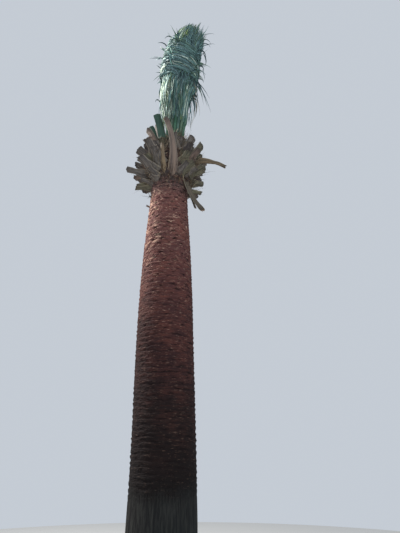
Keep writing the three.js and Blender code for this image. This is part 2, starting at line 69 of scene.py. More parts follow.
# Bark tones up the trunk, as shares of BARK_COLOUR_SPAN. Towards the foot they darken to near black:
# painted shade over the lower trunk, on top of its own dark red-brown and the old grey fibre at the
# foot.
BARK_COLOURS_AND_SHADE = (
    (0.0, (36, 41, 42)), (0.2, (28, 31, 32)), (0.25, (26, 26, 27)), (0.27, (25, 21, 21)),
    (0.31, (27, 21, 21)), (0.38, (35, 26, 26)), (0.43, (43, 29, 30)), (0.53, (62, 40, 40)),
    (0.64, (82, 53, 52)), (0.72, (94, 63, 61)), (0.8, (105, 71, 68)), (0.83, (93, 71, 69)),
    (0.855, (70, 62, 62)), (0.94, (63, 58, 57)),
)


def mix(start, end, share):
    return start + (end - start) * share


def ramp(value, start, end):
    """Smooth step from 0 to 1 between two values."""
    share = np.clip((value - start) / (end - start), 0, 1)
    return share * share * (3 - 2 * share)


def along(stations, place):
    """Smooth value at a place, from a short list of places and values."""
    at, value = np.array(stations, float).T
    slope = np.empty(len(at))
    slope[1:-1] = (value[2:] - value[:-2]) / (at[2:] - at[:-2])
    slope[0] = (value[1] - value[0]) / (at[1] - at[0])
    slope[-1] = (value[-1] - value[-2]) / (at[-1] - at[-2])
    place = np.clip(place, at[0], at[-1])
    low = np.clip(np.searchsorted(at, place, side="right") - 1, 0, len(at) - 2)
    span = at[low + 1] - at[low]
    t = (place - at[low]) / span
    rest = 1 - t
    start = value[low] * (1 + 2 * t) * rest * rest + slope[low] * span * t * rest * rest
    end = value[low + 1] * t * t * (3 - 2 * t) - slope[low + 1] * span * t * t * rest
    return start + end


def rough(points, stretch):
    """Smooth noise about nought at each point, finer the larger the stretch."""
    flat = (points * np.array(stretch)).reshape(-1, 3).tolist()
    return np.array([noise.noise(point) for point in flat]).reshape(points.shape[:-1])


def polar(angle, radius, height):
    """Points at angles and distances round the upright through the origin."""
    angle, radius, height = np.broadcast_arrays(angle, radius, height)
    return np.stack([radius * np.cos(angle), radius * np.sin(angle), height], -1)


def scarred(height):
    """0 on the old bark at the foot and 1 on the scars over it."""
    return ramp(height, OLD_BARK_TOP - 0.1, OLD_BARK_TOP + 0.06)


def scar_pattern(turn, height):
    """How raised the bark is, about -1 in the grooves to 1 on the lips, and where scars meet."""
    ring = polar(TURN * turn, 1, height)
    row = height / SCAR_ROW + 0.5 * rough(ring, (1.4, 1.4, 3)) + 0.3 * rough(ring, (6, 6, 14))
    nearest = np.full(len(row), 9.0)
    second = nearest.copy()
    up = np.zeros(len(row))
    for step in (-1, 0, 1, 2):
        which = np.floor(row) + step
        across = (turn * SCARS_ROUND - SCAR_SHIFT * which + 0.5) % 1 - 0.5
        away = np.abs(across) * 2.1 + np.abs(row - which) * 0.8
        second = np.minimum(second, np.maximum(away, nearest))
        up = np.where(away < nearest, row - which, up)
        nearest = np.minimum(nearest, away)
    lattice = 1.5 * ramp(second - nearest, 0.02, 0.5) - 0.9 + 0.5 * up
    part = row % 1
    rows = 2 * np.where(part < SCAR_LIP, part / SCAR_LIP, (1 - part) / (1 - SCAR_LIP)) - 1
    relief = mix(mix(rows, lattice, 0.2), mix(rows, lattice, 0.5), ramp(height, 1.7, 3.1))
    patchy = 0.8 + 0.9 * rough(ring, (4, 4, 22)) + 0.5 * ramp(height, 2.9, 3.6)
    border = 1 - ramp(second - nearest, 0.05, 0.32)
    return relief * patchy * scarred(height), border * scarred(height)


def trunk_surface(turn, share):
    height = np.interp(share * TRUNK_ROWS, (0, SCARRED_ROWS, TRUNK_ROWS), (0, SCARRED_TOP, TRUNK_TOP))
    ring = polar(TURN * turn, 1, height)
    level = rough(ring, (5, 5, 60)) + 0.9 * rough(ring, (17, 17, 90))
    upright = rough(ring, (8, 8, 2)) + 0.9 * rough(ring, (24, 24, 3))
    fibres = mix(upright, level, scarred(height))
    fade = ramp(height, 0, 0.04) * mix(1, 0.35, ramp(height, 4.15, SCARRED_TOP))
    relief = fade * (SCAR_RELIEF * scar_pattern(turn, height)[0] + FIBRE_RELIEF * fibres)
    surface = polar(TURN * turn, along(TRUNK_DIAMETER, height) / 2 + relief, height)
    surface[:, 0] += along(AXIS_SHIFT, height)
    return surface


def rolled(columns, rows, place):
    """A closed round skin with flat ends: a grid whose two side edges meet."""
    bm = bmesh.new()
    bmesh.ops.create_grid(bm, x_segments=columns, y_segments=rows, size=0.5)
    flat = np.array([vert.co[:2] for vert in bm.verts]) + 0.5
    for vert, point in zip(bm.verts, place(flat[:, 0], flat[:, 1]).tolist()):
        vert.co = point
    bmesh.ops.remove_doubles(bm, verts=bm.verts, dist=1e-5)
    bmesh.ops.holes_fill(bm, edges=[edge for edge in bm.edges if edge.is_boundary])
    bmesh.ops.recalc_face_normals(bm, faces=bm.faces)
    return bm


def shown(name, bm):
    """A smooth object in the scene from a finished bmesh."""
    mesh = bpy.data.meshes.new(name)
    bm.to_mesh(mesh)
    bm.free()
    piece = bpy.data.objects.new(name, mesh)
    bpy.context.scene.collection.objects.link(piece)
    mesh.shade_smooth()
    return piece


def note(piece, name, values):
    """A number at each vertex, for a finish to read."""
    layer = piece.data.attributes.new(name, "FLOAT", "POINT")
    layer.data.foreach_set("value", np.asarray(values, np.float32).ravel())


def paint(red, green, blue):
    """A colour from the three numbers a paint chart gives it, 0 to 255."""
    parts = np.array([red, green, blue]) / 255
    linear = np.where(parts <= 0.04045, parts / 12.92, ((parts + 0.055) / 1.055) ** 2.4)
    return (*linear.tolist(), 1)


class Value:
    """The output of a shader node. Sums and products of values add Math nodes."""

    def __init__(self, finish, socket):
        self.finish = finish
        self.socket = socket

    def maths(self, operation, first, second):
        return self.finish.node("ShaderNodeMath", {"operation": operation}, {0: first, 1: second})

    def __add__(self, other):
        return self.maths("ADD", self, other)

    def __sub__(self, other):
        return self.maths("SUBTRACT", self, other)

    def __rsub__(self, other):
        return self.maths("SUBTRACT", other, self)

    def __mul__(self, other):
        return self.maths("MULTIPLY", self, other)

    __radd__ = __add__
    __rmul__ = __mul__


class Finish:
    """A material round one Principled shader."""

    def __init__(self, name, roughness, specular=0.5):
        self.material = bpy.data.materials.new(name)
        self.material.use_nodes = True
        self.tree = self.material.node_tree
        self.shader = self.tree.nodes["Principled BSDF"]
        self.shader.inputs["Roughness"].default_value = roughness
        self.shader.inputs["Specular IOR Level"].default_value = specular

    def feed(self, socket, value):
        if isinstance(value, Value):
            self.tree.links.new(value.socket, socket)
        else:
            socket.default_value = value

    def node(self, kind, settings=None, sockets=None, output=0):
        """A node of a kind: its settings first, then what its sockets hold, then one output."""
        made = self.tree.nodes.new(kind)
        for name, value in (settings or {}).items():
            if name == "stops":
                made.color_ramp.elements.remove(made.color_ramp.elements[1])
                made.color_ramp.elements[0].position = value[0][0]
                made.color_ramp.elements[0].color = value[0][1]
                for place, colour in value[1:]:
                    made.color_ramp.elements.new(place).color = colour
            else:
                setattr(made, name, value)
        for key, value in (sockets or {}).items():
            self.feed(made.inputs[key], value)
        return Value(self, made.outputs[output])

    def place(self):
        """Where a point is on the object."""
        return self.node("ShaderNodeTexCoord", output="Object")

    def axis(self, place, name):
        """One of a place's three measures."""
        return self.node("ShaderNodeSeparateXYZ", None, {0: place}, name)

    def noted(self, name):
        """A number that note() left at each vertex."""
        return self.node("ShaderNodeAttribute", {"attribute_name": name}, output="Fac")

    def grain(self, place, stretch, detail=2.0):
        """Noise stretched over the surface, about 0.5."""
        where = self.node("ShaderNodeVectorMath", {"operation": "MULTIPLY"}, {0: place, 1: stretch})
        return self.node("ShaderNodeTexNoise", None, {"Vector": where, "Scale": 1.0, "Detail": detail})

    def spread(self, value, low, high):
        """The value stretched so that low becomes 0 and high becomes 1, and held between them."""
        return self.node("ShaderNodeMapRange", {"clamp": True}, {
            "Value": value, "From Min": low, "From Max": high, "To Min": 0.0, "To Max": 1.0})

    def blend(self, share, first, second):
        """Colour between two colours."""
        return self.node("ShaderNodeMix", {"data_type": "RGBA"}, {0: share, 6: first, 7: second}, 2)

    def wear(self, colour, bump=None, strength=0.5, depth=0.002):
        self.feed(self.shader.inputs["Base Color"], colour)
        if bump is not None:
            self.feed(self.shader.inputs["Normal"], self.node(
                "ShaderNodeBump", None, {"Strength": strength, "Distance": depth, "Height": bump}))


def bark_finish():
    """Red-brown bark with pale cut-fibre flecks and old grey fibre below; painted shade in its
    grooves, down its lower half and on its lower left, and painted sunlight on the lips and upper
    left.
    """
    finish = Finish("trimmed_bark", 0.9, 0.12)
    spread, blend = finish.spread, finish.blend
    place = finish.place()
    height, across = finish.axis(place, "Z"), finish.axis(place, "X")
    lip, border = finish.noted("lip"), finish.noted("border")
    fibre = finish.grain(place, (13, 13, 120), 5.0)
    patch = finish.grain(place, (4.5, 4.5, 7), 3.0)
    chip = finish.grain(place, (13, 13, 22))
    fleck = finish.grain(place, (26, 26, 220))
    crack = finish.grain(place, (11, 11, 75), 3.0)
    thread = finish.grain(place, (90, 90, 7), 3.0)
    rowed = spread(height + (patch - 0.5) * 0.2 + (thread - 0.5) * 0.3,
                   OLD_BARK_TOP - 0.05, OLD_BARK_TOP + 0.09)
    colour = finish.node(
        "ShaderNodeValToRGB", {"stops": [(stop, paint(*tone)) for stop, tone in BARK_COLOURS_AND_SHADE]},
        {"Fac": height * (1 / BARK_COLOUR_SPAN) + (patch - 0.5) * 0.07})
    warm = spread(patch + (fibre - 0.5) * 1.6, 0.35, 0.85) * spread(height, 1.4, 3.2)
    colour = blend(warm * 0.35, colour, paint(139, 82, 66))
    # Painted shade in the grooves, where the scar relief is low, together with the bark's own dark
    # cracks.
    groove_shade_and_cracks = spread(lip * -0.45 + (0.5 - crack) * 3.2, 0.1, 0.75)
    colour = blend(groove_shade_and_cracks * rowed * 0.88, colour, paint(23, 15, 16))
    upper = spread(height, 2.9, 3.5) * spread(height, SCARRED_TOP, 4.15)
    # Painted sunlight: pale patches on the upper left of the trunk, drawn from noise.
    sunlit_patch = spread(chip + spread(across, -0.03, -0.19) * 0.13, 0.61, 0.74) * upper
    # Pale marks: the bark's own cut-fibre flecks and scar edges, with painted highlights on the raised
    # lips and the painted sunlit patches. The sunny share thins them towards the foot as painted
    # shade.
    pale = spread(lip * 0.2 + border * upper * 0.4 + sunlit_patch * 0.7 + (fleck - 0.5) * 3.8, 0.52, 0.9)
    sunny = spread(height, 2.0, 3.8) * 0.54 + 0.16
    colour = blend(pale * rowed * sunny, colour, paint(210, 174, 151))
    shaded = spread(across, 0.02, -0.2) * spread(height, 3.15, 2.55)
    colour = blend(shaded * 0.43, colour, paint(19, 14, 15))
    stringy = spread(height, 4.05, 4.2) * 0.7 + (1 - rowed) * 0.6
    colour = blend(spread(thread, 0.42, 0.66) * stringy, colour, paint(52, 53, 50))
    rows = fibre * 1.2 + fleck * 0.8 + crack * 1.2
    finish.wear(colour, rows * rowed + thread * (2.2 - rowed * 1.6), 1.0, 0.012)
    return finish


trunk = shown("trunk_bark", rolled(TRUNK_COLUMNS, TRUNK_ROWS, trunk_surface))
corners = np.array([vert.co for vert in trunk.data.vertices])
turned = np.arctan2(corners[:, 1], corners[:, 0] - along(AXIS_SHIFT, corners[:, 2])) / TURN % 1
for label, values in zip(("lip", "border"), scar_pattern(turned, corners[:, 2])):
    note(trunk, label, values)
trunk.data.materials.append(bark_finish().material)
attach(trunk, "root")
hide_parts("trunk")


# Cut leaf bases: the woody, fibrous feet of old leaves, each broad and hugging at its foot, keeled
# below and channelled above, and cut off on the slant. They grow by the golden angle round the
# top of the trunk, splayed low down and nearly upright at the top, with shorter ones between.
DEGREE = math.pi / 180
GOLDEN_ANGLE = 137.5 * DEGREE
BASE_COUNT = 59
BASE_FEET = (4.29, 4.724)
BASE_TILT = (-9.7, 72.1)
BASE_LENGTH = (0.191, 0.327)
BASE_HUG = 0.9408
BASE_WIDTH = 0.088
BASE_STEPS = 13
BARE_MIDDLE = -88 * DEGREE
BARE_HALF = 20 * DEGREE
BARE_TOP = 4.56
FILLER_BASES = 58
FILLER_FEET = (4.22, 4.64)
NUBS = ((186, 3.97, 25, 0.04), (172, 3.86, 40, 0.03), (200, 4.06, 30, 0.035))
KEEL_POINTS = 11
CHANNEL_POINTS = 7
CUT_RECESS = 0.16
CUT_DARK = (46, 40, 37)
BASE_DEAL = (0.42, 0.74, 0.88, 1.01)
SHARP_FROM = 42 * DEGREE


def seeded_draws(seed):
    """The same even draws between 0 and 1 each time."""
    state = seed
    while True:
        state = (state + 0x6D2B79F5) & 0xFFFFFFFF
        mixed = (state ^ (state >> 15)) * (1 | state) & 0xFFFFFFFF
        mixed = (mixed + ((mixed ^ (mixed >> 7)) * (61 | mixed) & 0xFFFFFFFF) & 0xFFFFFFFF) ^ mixed
        yield (mixed ^ (mixed >> 14)) / 2 ** 32


def strand(section, stations, pointed=False, cut=0.0):
    """A bar of one section, built once, to be laid along many lines: its z counts stations."""
    bm = bmesh.new()
    face = bm.faces.new([bm.verts.new((x, y, 0)) for x, y in section])
    for _ in range(stations - 1):
        grown = bmesh.ops.extrude_face_region(bm, geom=[face])["geom"]
        face = next(part for part in grown if isinstance(part, bmesh.types.BMFace))
        bmesh.ops.translate(bm, verts=face.verts[:], vec=(0, 0, 1))
    if pointed:
        bmesh.ops.pointmerge(bm, verts=face.verts[:], merge_co=(0, 0, stations - 1))
    if cut:
        for rim in (0.05, 0.04):
            bmesh.ops.inset_individual(bm, faces=[face], thickness=rim, use_even_offset=False)
        bmesh.ops.translate(bm, verts=face.verts[:], vec=(0, 0, -cut))
    bmesh.ops.recalc_face_normals(bm, faces=bm.faces)
    bmesh.ops.triangulate(bm, faces=bm.faces)
    bm.verts.index_update()
    points = np.array([vert.co for vert in bm.verts])
    faces = np.array([[vert.index for vert in part.verts] for part in bm.faces])
    bm.free()
    return points, faces


def laid(points, line, side, out, half, thick):
    """Copies of a strand's points, one along each line of stations."""
    low = np.clip(np.floor(points[:, 2] + 1e-6).astype(int), 0, line.shape[1] - 2)
    rest = (points[:, 2] - low)[:, None]

    def at(values):
        return values[:, low] * (1 - rest) + values[:, low + 1] * rest

    across = at(side * half[..., None]) * points[:, :1]
    through = at(out * thick[..., None]) * points[:, 1:2]
    return at(line) + across + through


def joined(name, parts, finishes):
    """One object of many strands. A part is the strand's faces, the laid copies and their finishes."""
    corners, faces, dyes = [], [], []
    start = 0
    for strand_faces, copies, dye in parts:
        count, each = copies.shape[:2]
        first = start + each * np.arange(count)
        corners.append(copies.reshape(-1, 3))
        faces.append((strand_faces + first[:, None, None]).reshape(-1, 3))
        dyes.append(np.broadcast_to(np.reshape(dye, (count, -1)), (count, len(strand_faces))).ravel())
        start += count * each
    corners, faces, dyes = (np.concatenate(lists) for lists in (corners, faces, dyes))
    mesh = bpy.data.meshes.new(name)
    mesh.vertices.add(len(corners))
    mesh.vertices.foreach_set("co", corners.astype(np.float32).ravel())
    mesh.loops.add(faces.size)
    mesh.loops.foreach_set("vertex_index", faces.astype(np.int32).ravel())
    mesh.polygons.add(len(faces))
    mesh.polygons.foreach_set("loop_start", np.arange(0, faces.size, 3, dtype=np.int32))
    for finish in finishes:
        mesh.materials.append(finish.material)
    mesh.polygons.foreach_set("material_index", dyes.astype(np.int32))
    mesh.update(calc_edges=True)
    piece = bpy.data.objects.new(name, mesh)
    bpy.context.scene.collection.objects.link(piece)
    return piece


def base_section():
    """Section of a leaf base, one wide and about 0.7 through: a keel below and a channel above."""
    lower = np.linspace(-1, 1, KEEL_POINTS)
    ridge = 0.03 * (np.arange(KEEL_POINTS) % 2)
    keel = [(t / 2, -0.46 + 0.6 * abs(t) ** 1.3 - r) for t, r in zip(lower, ridge)]
    upper = np.linspace(0.88, -0.88, CHANNEL_POINTS)
    return keel + [(t / 2, 0.1 + 0.16 * abs(t) ** 1.6) for t in upper]


def beside(direction):
    """The level direction a quarter turn on from another."""
    return np.stack([-direction[..., 1], direction[..., 0], 0 * direction[..., 0]], -1)


def base_line(spec, steps):
    """Stations of a leaf base from the trunk out: middle line, side, upper side, width, thickness."""
    coarse = np.linspace(0, 1, 5)
    share = np.linspace(0, 1, steps)

    def tilt_at(part):
        return spec["tilt"] + spec.get("curl", 0) * part + spec.get("rise", 0) * (1 - part) ** 2

    sink = 0.022 + 0.05 * abs(math.sin(spec["tilt"]))
    step = (spec["length"] + sink) / 4
    bend = tilt_at(coarse[:4])
    start = along(TRUNK_DIAMETER, spec["foot"]) / 2 - sink
    reach = start + np.append(0, np.cumsum(np.cos(bend) * step))
    height = spec["foot"] + np.append(0, np.cumsum(np.sin(bend) * step))
    radial = polar(spec["azimuth"] + spec.get("lean", 0) * share ** 2, 1, 0)
    line = radial * along(list(zip(coarse, reach)), share)[:, None]
    line[:, 0] += along(AXIS_SHIFT, spec["foot"])
    line[:, 2] = along(list(zip(coarse, height)), share)
    tilt = tilt_at(share)[:, None]
    normal = np.cos(tilt) * UP - np.sin(tilt) * radial
    twist = (spec.get("twist", 0) * np.minimum(1, share / spec.get("twist_by", 1)))[:, None]
    side = beside(radial) * np.cos(twist) + normal * np.sin(twist)
    out = normal * np.cos(twist) - beside(radial) * np.sin(twist)
    width = mix(spec["foot_width"], spec["end_width"], np.minimum(1, share * 1.5))
    thick = mix(0.1, spec["end_thickness"], np.minimum(1, share * 2.2))
    return line, side, out, width, thick


def spiral_base(k, draws):
    share = k / (BASE_COUNT - 1)
    foot = mix(*BASE_FEET, share)
    azimuth = 122.4 * DEGREE + GOLDEN_ANGLE * k + mix(-5.9, 5.9, next(draws)) * DEGREE
    facing_front = max(0, -math.sin(azimuth))
    side_length = mix(1, mix(1.3, 0.24, share), facing_front) * mix(1, 0.74, max(0, math.cos(azimuth)))
    side_length *= mix(1, 0.6, facing_front * ramp(share, 0.7, 0.95))
    lift = 24 * facing_front * (1 - 2 * share)
    return {
        "azimuth": azimuth,
        "foot": foot,
        "tilt": (mix(*BASE_TILT, share) + lift + mix(-7.9, 7.9, next(draws))) * DEGREE,
        "rise": 8 * DEGREE,
        "length": mix(*BASE_LENGTH, share) * side_length * mix(0.6, 1.28, next(draws)),
        "foot_width": along(TRUNK_DIAMETER, foot) / 2 * BASE_HUG,
        "end_width": BASE_WIDTH * mix(0.72, 1.18, next(draws)),
        "end_thickness": 0.032,
        "twist": -38 * DEGREE * math.cos(azimuth),
    }


def filler_base(k, draws):
    """A shorter, thinner leaf base between the others."""
    share = (k + 0.5) / FILLER_BASES
    foot = mix(*FILLER_FEET, share)
    azimuth = GOLDEN_ANGLE * k * 1.37 + mix(-8, 8, next(draws)) * DEGREE
    shorter = mix(1, 0.4, max(0, -math.sin(azimuth)) * share)
    return {
        "azimuth": azimuth,
        "foot": foot,
        "tilt": (mix(-4, 58, share) + mix(-14, 14, next(draws))) * DEGREE,
        "rise": 8 * DEGREE,
        "length": mix(0.08, 0.21, next(draws)) * shorter,
        "foot_width": along(TRUNK_DIAMETER, foot) / 2 * mix(0.5, 0.8, next(draws)),
        "end_width": mix(0.045, 0.085, next(draws)),
        "end_thickness": mix(0.014, 0.028, next(draws)),
        "twist": -30 * DEGREE * math.cos(azimuth) + mix(-20, 20, next(draws)) * DEGREE,
    }


def off_bare_stretch(spec):
    """Whether a base is clear of the stretch in front where the trunk shows between the bases."""
    in_front = math.cos(spec["azimuth"] - BARE_MIDDLE) > math.cos(BARE_HALF)
    return not (in_front and spec["foot"] < BARE_TOP)


def bases_piece(name, specs, finishes, dyes, steps, seed,
                wobbly=1.0, tear=0.009, skewed=0.4, slanted=0.5):
    """Leaf bases joined into one object, roughened, with notes of where on a base each point lies."""
    points, faces = strand(base_section(), steps, cut=CUT_RECESS)
    stations = zip(*(base_line(spec, steps) for spec in specs))
    line, side, out, width, thick = (np.array(part) for part in stations)
    copies = laid(points, line, side, out, width, thick)
    across = points[:, :1] * width[:, -1, None, None]
    through = points[:, 1:2] * thick[:, -1, None, None]
    skew = np.sin(7.3 * np.arange(len(specs)) + seed)[:, None, None]
    torn = rough(np.concatenate([across, skew + 0 * across, 0 * across], -1), (90, 50, 1))[..., None]
    ahead = np.cross(side[:, -1], out[:, -1])[:, None]
    at_end = points[:, 2:] > steps - 1.5
    copies = copies + (skewed * skew * across - slanted * through + tear * torn) * ahead * at_end

    def shaken(size, shifts, stretch):
        return size * np.stack([rough(copies + shift + seed, stretch) for shift in shifts], -1)

    shaking = shaken(0.0045, (0, 5, 11), (17, 17, 17)) + shaken(0.002, (2, 7, 13), (60, 60, 60))
    copies = copies + wobbly * shaking
    cut_faces = (points[faces][:, :, 2] > steps - 1.4).all(1)
    dye = np.where(cut_faces, len(finishes) - 1, np.reshape(dyes, (-1, 1)))
    piece = joined(name, [(faces, copies, dye)], finishes)
    piece.data.shade_smooth()
    piece.data.set_sharp_from_angle(angle=SHARP_FROM)
    for label, values in (
            ("lengthwise", points[:, 2] / (steps - 1)),
            ("crosswise", points[:, 0] * width.mean(1)[:, None] * 8),
            ("margin", 2 * np.abs(points[:, 0])),
            ("own", np.arange(len(specs))[:, None] * 0.737 % 1)):
        note(piece, label, np.broadcast_to(values, copies.shape[:2]))
    return piece


def base_finish(name, body, streak, edge):
    """Dry fibrous leaf base: long bands and streaks, thin pale margins, darker towards the cut."""
    finish = Finish(name, 0.82, 0.25)
    lengthwise, margin = finish.noted("lengthwise"), finish.noted("margin")
    place = finish.node("ShaderNodeCombineXYZ", None, {
        0: finish.noted("crosswise"), 1: lengthwise, 2: finish.noted("own") * 40.0})
    fine = finish.grain(place, (34, 2.5, 1), 4.0)
    band = finish.grain(place, (6, 0.8, 1))
    broad = finish.grain(place, (5, 4, 1))
    streaked = finish.spread(band + (fine - 0.5) * 0.9, 0.36, 0.66)
    colour = finish.blend(streaked, paint(*body), paint(*streak))
    dull = finish.spread(broad + lengthwise * 0.25, 0.6, 0.9) * 0.6
    colour = finish.blend(dull, colour, paint(*edge))
    pale = finish.spread(margin + (broad - 0.5) * 0.4, 0.8, 1.0) * 0.45
    colour = finish.blend(pale, colour, paint(160, 148, 128))
    near_cut = finish.spread(lengthwise + (fine - 0.5) * 0.3, 0.88, 1.0) * 0.6
    colour = finish.blend(near_cut, colour, paint(*CUT_DARK))
    finish.wear(colour, fine + band * 0.5, 0.9, 0.004)
    return finish


def mottled(name, shine, stretch, edges, first, second, relief=None, detail=2.0):
    """One noise that goes from a first colour to a second, and is raised where there is relief."""
    finish = Finish(name, *shine)
    spots = finish.grain(finish.place(), stretch, detail)
    colour = finish.blend(finish.spread(spots, *edges), paint(*first), paint(*second))
    finish.wear(colour, *((spots, *relief) if relief else ()))
    return finish


base_finishes = [
    base_finish("base_grey", (110, 104, 98), (71, 66, 65), (57, 55, 55)),
    base_finish("base_olive", (109, 105, 86), (76, 73, 63), (61, 61, 56)),
    base_finish("base_tan", (125, 105, 93), (87, 75, 70), (63, 58, 58)),
    base_finish("base_dark", (88, 80, 78), (55, 50, 51), (46, 44, 44)),
]
cut_pith = mottled(
    "cut_pith", (0.9, 0.2), (220, 220, 220), (0.4, 0.62), (158, 128, 93), (74, 58, 44),
    relief=(0.8, 0.002))

base_draws, filler_draws, dye_draws = (seeded_draws(seed) for seed in (141, 17, 23))
all_bases = [spiral_base(k, base_draws) for k in range(BASE_COUNT)]
all_bases += [filler_base(k, filler_draws) for k in range(FILLER_BASES)]
all_bases = [spec for spec in all_bases if off_bare_stretch(spec)]
all_bases += [
    {"azimuth": azimuth * DEGREE, "foot": foot, "tilt": tilt * DEGREE, "length": length,
     "foot_width": 0.07, "end_width": 0.03, "end_thickness": 0.02}
    for azimuth, foot, tilt, length in NUBS
]
base_dyes = [int(np.searchsorted(BASE_DEAL, next(dye_draws))) for _ in all_bases]
bases = bases_piece(
    "cut_leaf_bases", all_bases, base_finishes + [cut_pith], base_dyes, BASE_STEPS, seed=0.0)
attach(bases, "root")
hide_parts(*[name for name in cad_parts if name.startswith("leaf_bases_")])


# Long dead petioles: whole leaf stalks left on the crown, dry and fibrous, two of them up the
# front of the bundle, one arching over at the right, one at the left, and one hanging broken,
# with a strip torn off it.
LONG_STEPS = 22
DEAD_PETIOLES = {
    "front_petiole_tall": dict(azimuth=-78, foot=4.28, tilt=42, curl=46, lean=-15, length=0.58,
                               foot_width=0.124, end_width=0.058, end_thickness=0.03),
    "front_petiole_short": dict(azimuth=-103, foot=4.29, tilt=44, curl=34, lean=2, length=0.3,
                                foot_width=0.08, end_width=0.042, end_thickness=0.026),
    "dry_petiole_right": dict(azimuth=-7, foot=4.59, tilt=4, curl=-50, length=0.39,
                              foot_width=0.12, end_width=0.042, end_thickness=0.032, twist=-40),
    "hanging_dead_base": dict(azimuth=-29, foot=4.39, tilt=-75, curl=23, lean=-1, length=0.54,
                              foot_width=0.12, end_width=0.07, end_thickness=0.024, twist=40),
    "brown_petiole_left": dict(azimuth=176, foot=4.684, tilt=79, curl=-26, length=0.41,
                               foot_width=0.1, end_width=0.07, end_thickness=0.028, twist=80,
                               twist_by=0.5),
}
TORN_STRIPS = {
    "hanging_dead_base": dict(curl=8, lean=-4, length=0.47, end_width=0.026, end_thickness=0.012),
}


def in_radians(spec):
    return {key: value * DEGREE if key in ("azimuth", "tilt", "curl", "lean", "twist") else value
            for key, value in spec.items()}


stem_brown = base_finish("stem_brown", (128, 111, 99), (90, 80, 76), (69, 65, 63))
stem_green_brown = base_finish("stem_green_brown", (128, 110, 87), (92, 82, 68), (71, 66, 57))
stem_shaded = base_finish("stem_shaded", (104, 94, 80), (74, 68, 60), (54, 51, 48))
stem_finishes = {
    "front_petiole_tall": stem_brown,
    "front_petiole_short": stem_green_brown,
    "dry_petiole_right": stem_green_brown,
    "hanging_dead_base": stem_shaded,
    "brown_petiole_left": stem_brown,
}
for row, (node_name, spec) in enumerate(DEAD_PETIOLES.items()):
    strips = [spec | TORN_STRIPS[node_name]] if node_name in TORN_STRIPS else []
    specs = [in_radians(part) for part in [spec] + strips]
    stem = bases_piece(
        node_name + "_stem", specs, [stem_finishes[node_name], cut_pith], [0] * len(specs),
        LONG_STEPS, seed=3.0 + row, wobbly=0.8, tear=0.035)
    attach(stem, "root")
    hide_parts(node_name)


# Green petioles: two living leaf stalks cut off above the crown, smooth and waxy, standing up
# behind the left of the bundle with their flat sides to the front.
GREEN_PETIOLES = {
    "green_petiole_tall": dict(azimuth=204, foot=4.748, tilt=83, curl=-14, length=0.447,
                               foot_width=0.1, end_width=0.09, end_thickness=0.024, twist=80,
                               twist_by=0.5),
    "green_petiole_middle": dict(azimuth=161, foot=4.714, tilt=78, curl=-19, length=0.488,
                                 foot_width=0.096, end_width=0.084, end_thickness=0.022, twist=98,
                                 twist_by=0.5),
}
BROWN_FOOT = (4.9, 4.8)


def petiole_finish(name, body, shade):
    """Waxy living stalk: even green with faint long streaks, duller and browner at the foot."""
    finish = Finish(name, 0.7, 0.2)
    place = finish.place()
    streaks = finish.grain(place, (60, 60, 5), 3.0)
    cloud = finish.grain(place, (9, 9, 5))
    colour = finish.blend(finish.spread(streaks, 0.35, 0.68), paint(*body), paint(*shade))
    green_at, brown_at = (0.5 - height * 1.6 for height in BROWN_FOOT)
    brown = finish.spread(cloud - finish.axis(place, "Z") * 1.6, green_at, brown_at)
    finish.wear(finish.blend(brown, colour, paint(61, 68, 50)), streaks, 0.25, 0.001)
    finish.feed(finish.shader.inputs["Roughness"], finish.spread(cloud, 0.2, 0.8) * 0.2 + 0.62)
    return finish


petiole_green = petiole_finish("petiole_green", (62, 86, 74), (50, 70, 63))
fresh_cut = mottled(
    "fresh_cut", (0.7, 0.3), (240, 240, 240), (0.42, 0.6), (158, 160, 114), (101, 104, 71),
    relief=(0.6, 0.001))
for row, (node_name, spec) in enumerate(GREEN_PETIOLES.items()):
    stem = bases_piece(
        node_name + "_stem", [in_radians(spec)], [petiole_green, fresh_cut], [0],
        LONG_STEPS, seed=20.0 + row, wobbly=0.25, tear=0.0, skewed=0.15, slanted=0.1)
    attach(stem, "root")
    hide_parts(node_name)


# Heart of the bundle: the young inner fronds, still folded and soft, held by the long fronds wound
# round them in one fluted column that leans with the bundle and ends under the tuft. Its dark
# green is painted shade, seen only through the gaps between the leaflets.
AXIS_LEAN = (
    (4.95, 0), (5.24, -0.02), (5.44, -0.055), (5.72, -0.11), (5.92, -0.165), (6.15, -0.235),
    (6.44, -0.324),
)
BUNDLE_RADIUS = (
    (4.88, 0.104), (5.06, 0.114), (5.24, 0.139), (5.44, 0.165), (5.72, 0.222), (5.92, 0.231),
    (6.15, 0.21), (6.285, 0.182), (6.4, 0.14),
)
BUNDLE_FOOT = 4.778
HEART_TOP = 6.27
HEART_COLUMNS = 108
HEART_ROWS = 120
UNROLLED_RADIUS = 0.2
SIDE_TUCK = 0.023


def axis_point(height):
    return np.stack([along(AXIS_SHIFT, height), along(AXIS_LEAN, height), height], -1)


def unit(vectors):
    return vectors / np.linalg.norm(vectors, axis=-1, keepdims=True)


def off_axis(height, angle, reach):
    """A point off the bundle's middle line, square to it, and the direction out to it."""
    height = np.asarray(height, float)
    ahead = unit(axis_point(height + 0.001) - axis_point(height - 0.001))
    right = unit(np.array([1.0, 0, 0]) - ahead * ahead[..., :1])
    back = np.cross(ahead, right)
    out = right * np.cos(angle)[..., None] + back * np.sin(angle)[..., None]
    return axis_point(height) + out * np.asarray(reach)[..., None], out


def on_bundle(around, height, depth):
    """A place on the bundle. Its sides are drawn in a little under the winding."""
    angle = around / UNROLLED_RADIUS
    right_tuck = np.maximum(0, np.cos(angle)) * ramp(height, 5.68, 5.54)
    left_tuck = np.maximum(0, -np.cos(angle)) * ramp(height, 5.74, 5.6)
    tuck = SIDE_TUCK * (right_tuck + left_tuck) * ramp(height, 5.2, 5.34)
    return off_axis(height, angle, along(BUNDLE_RADIUS, height) + depth - tuck)


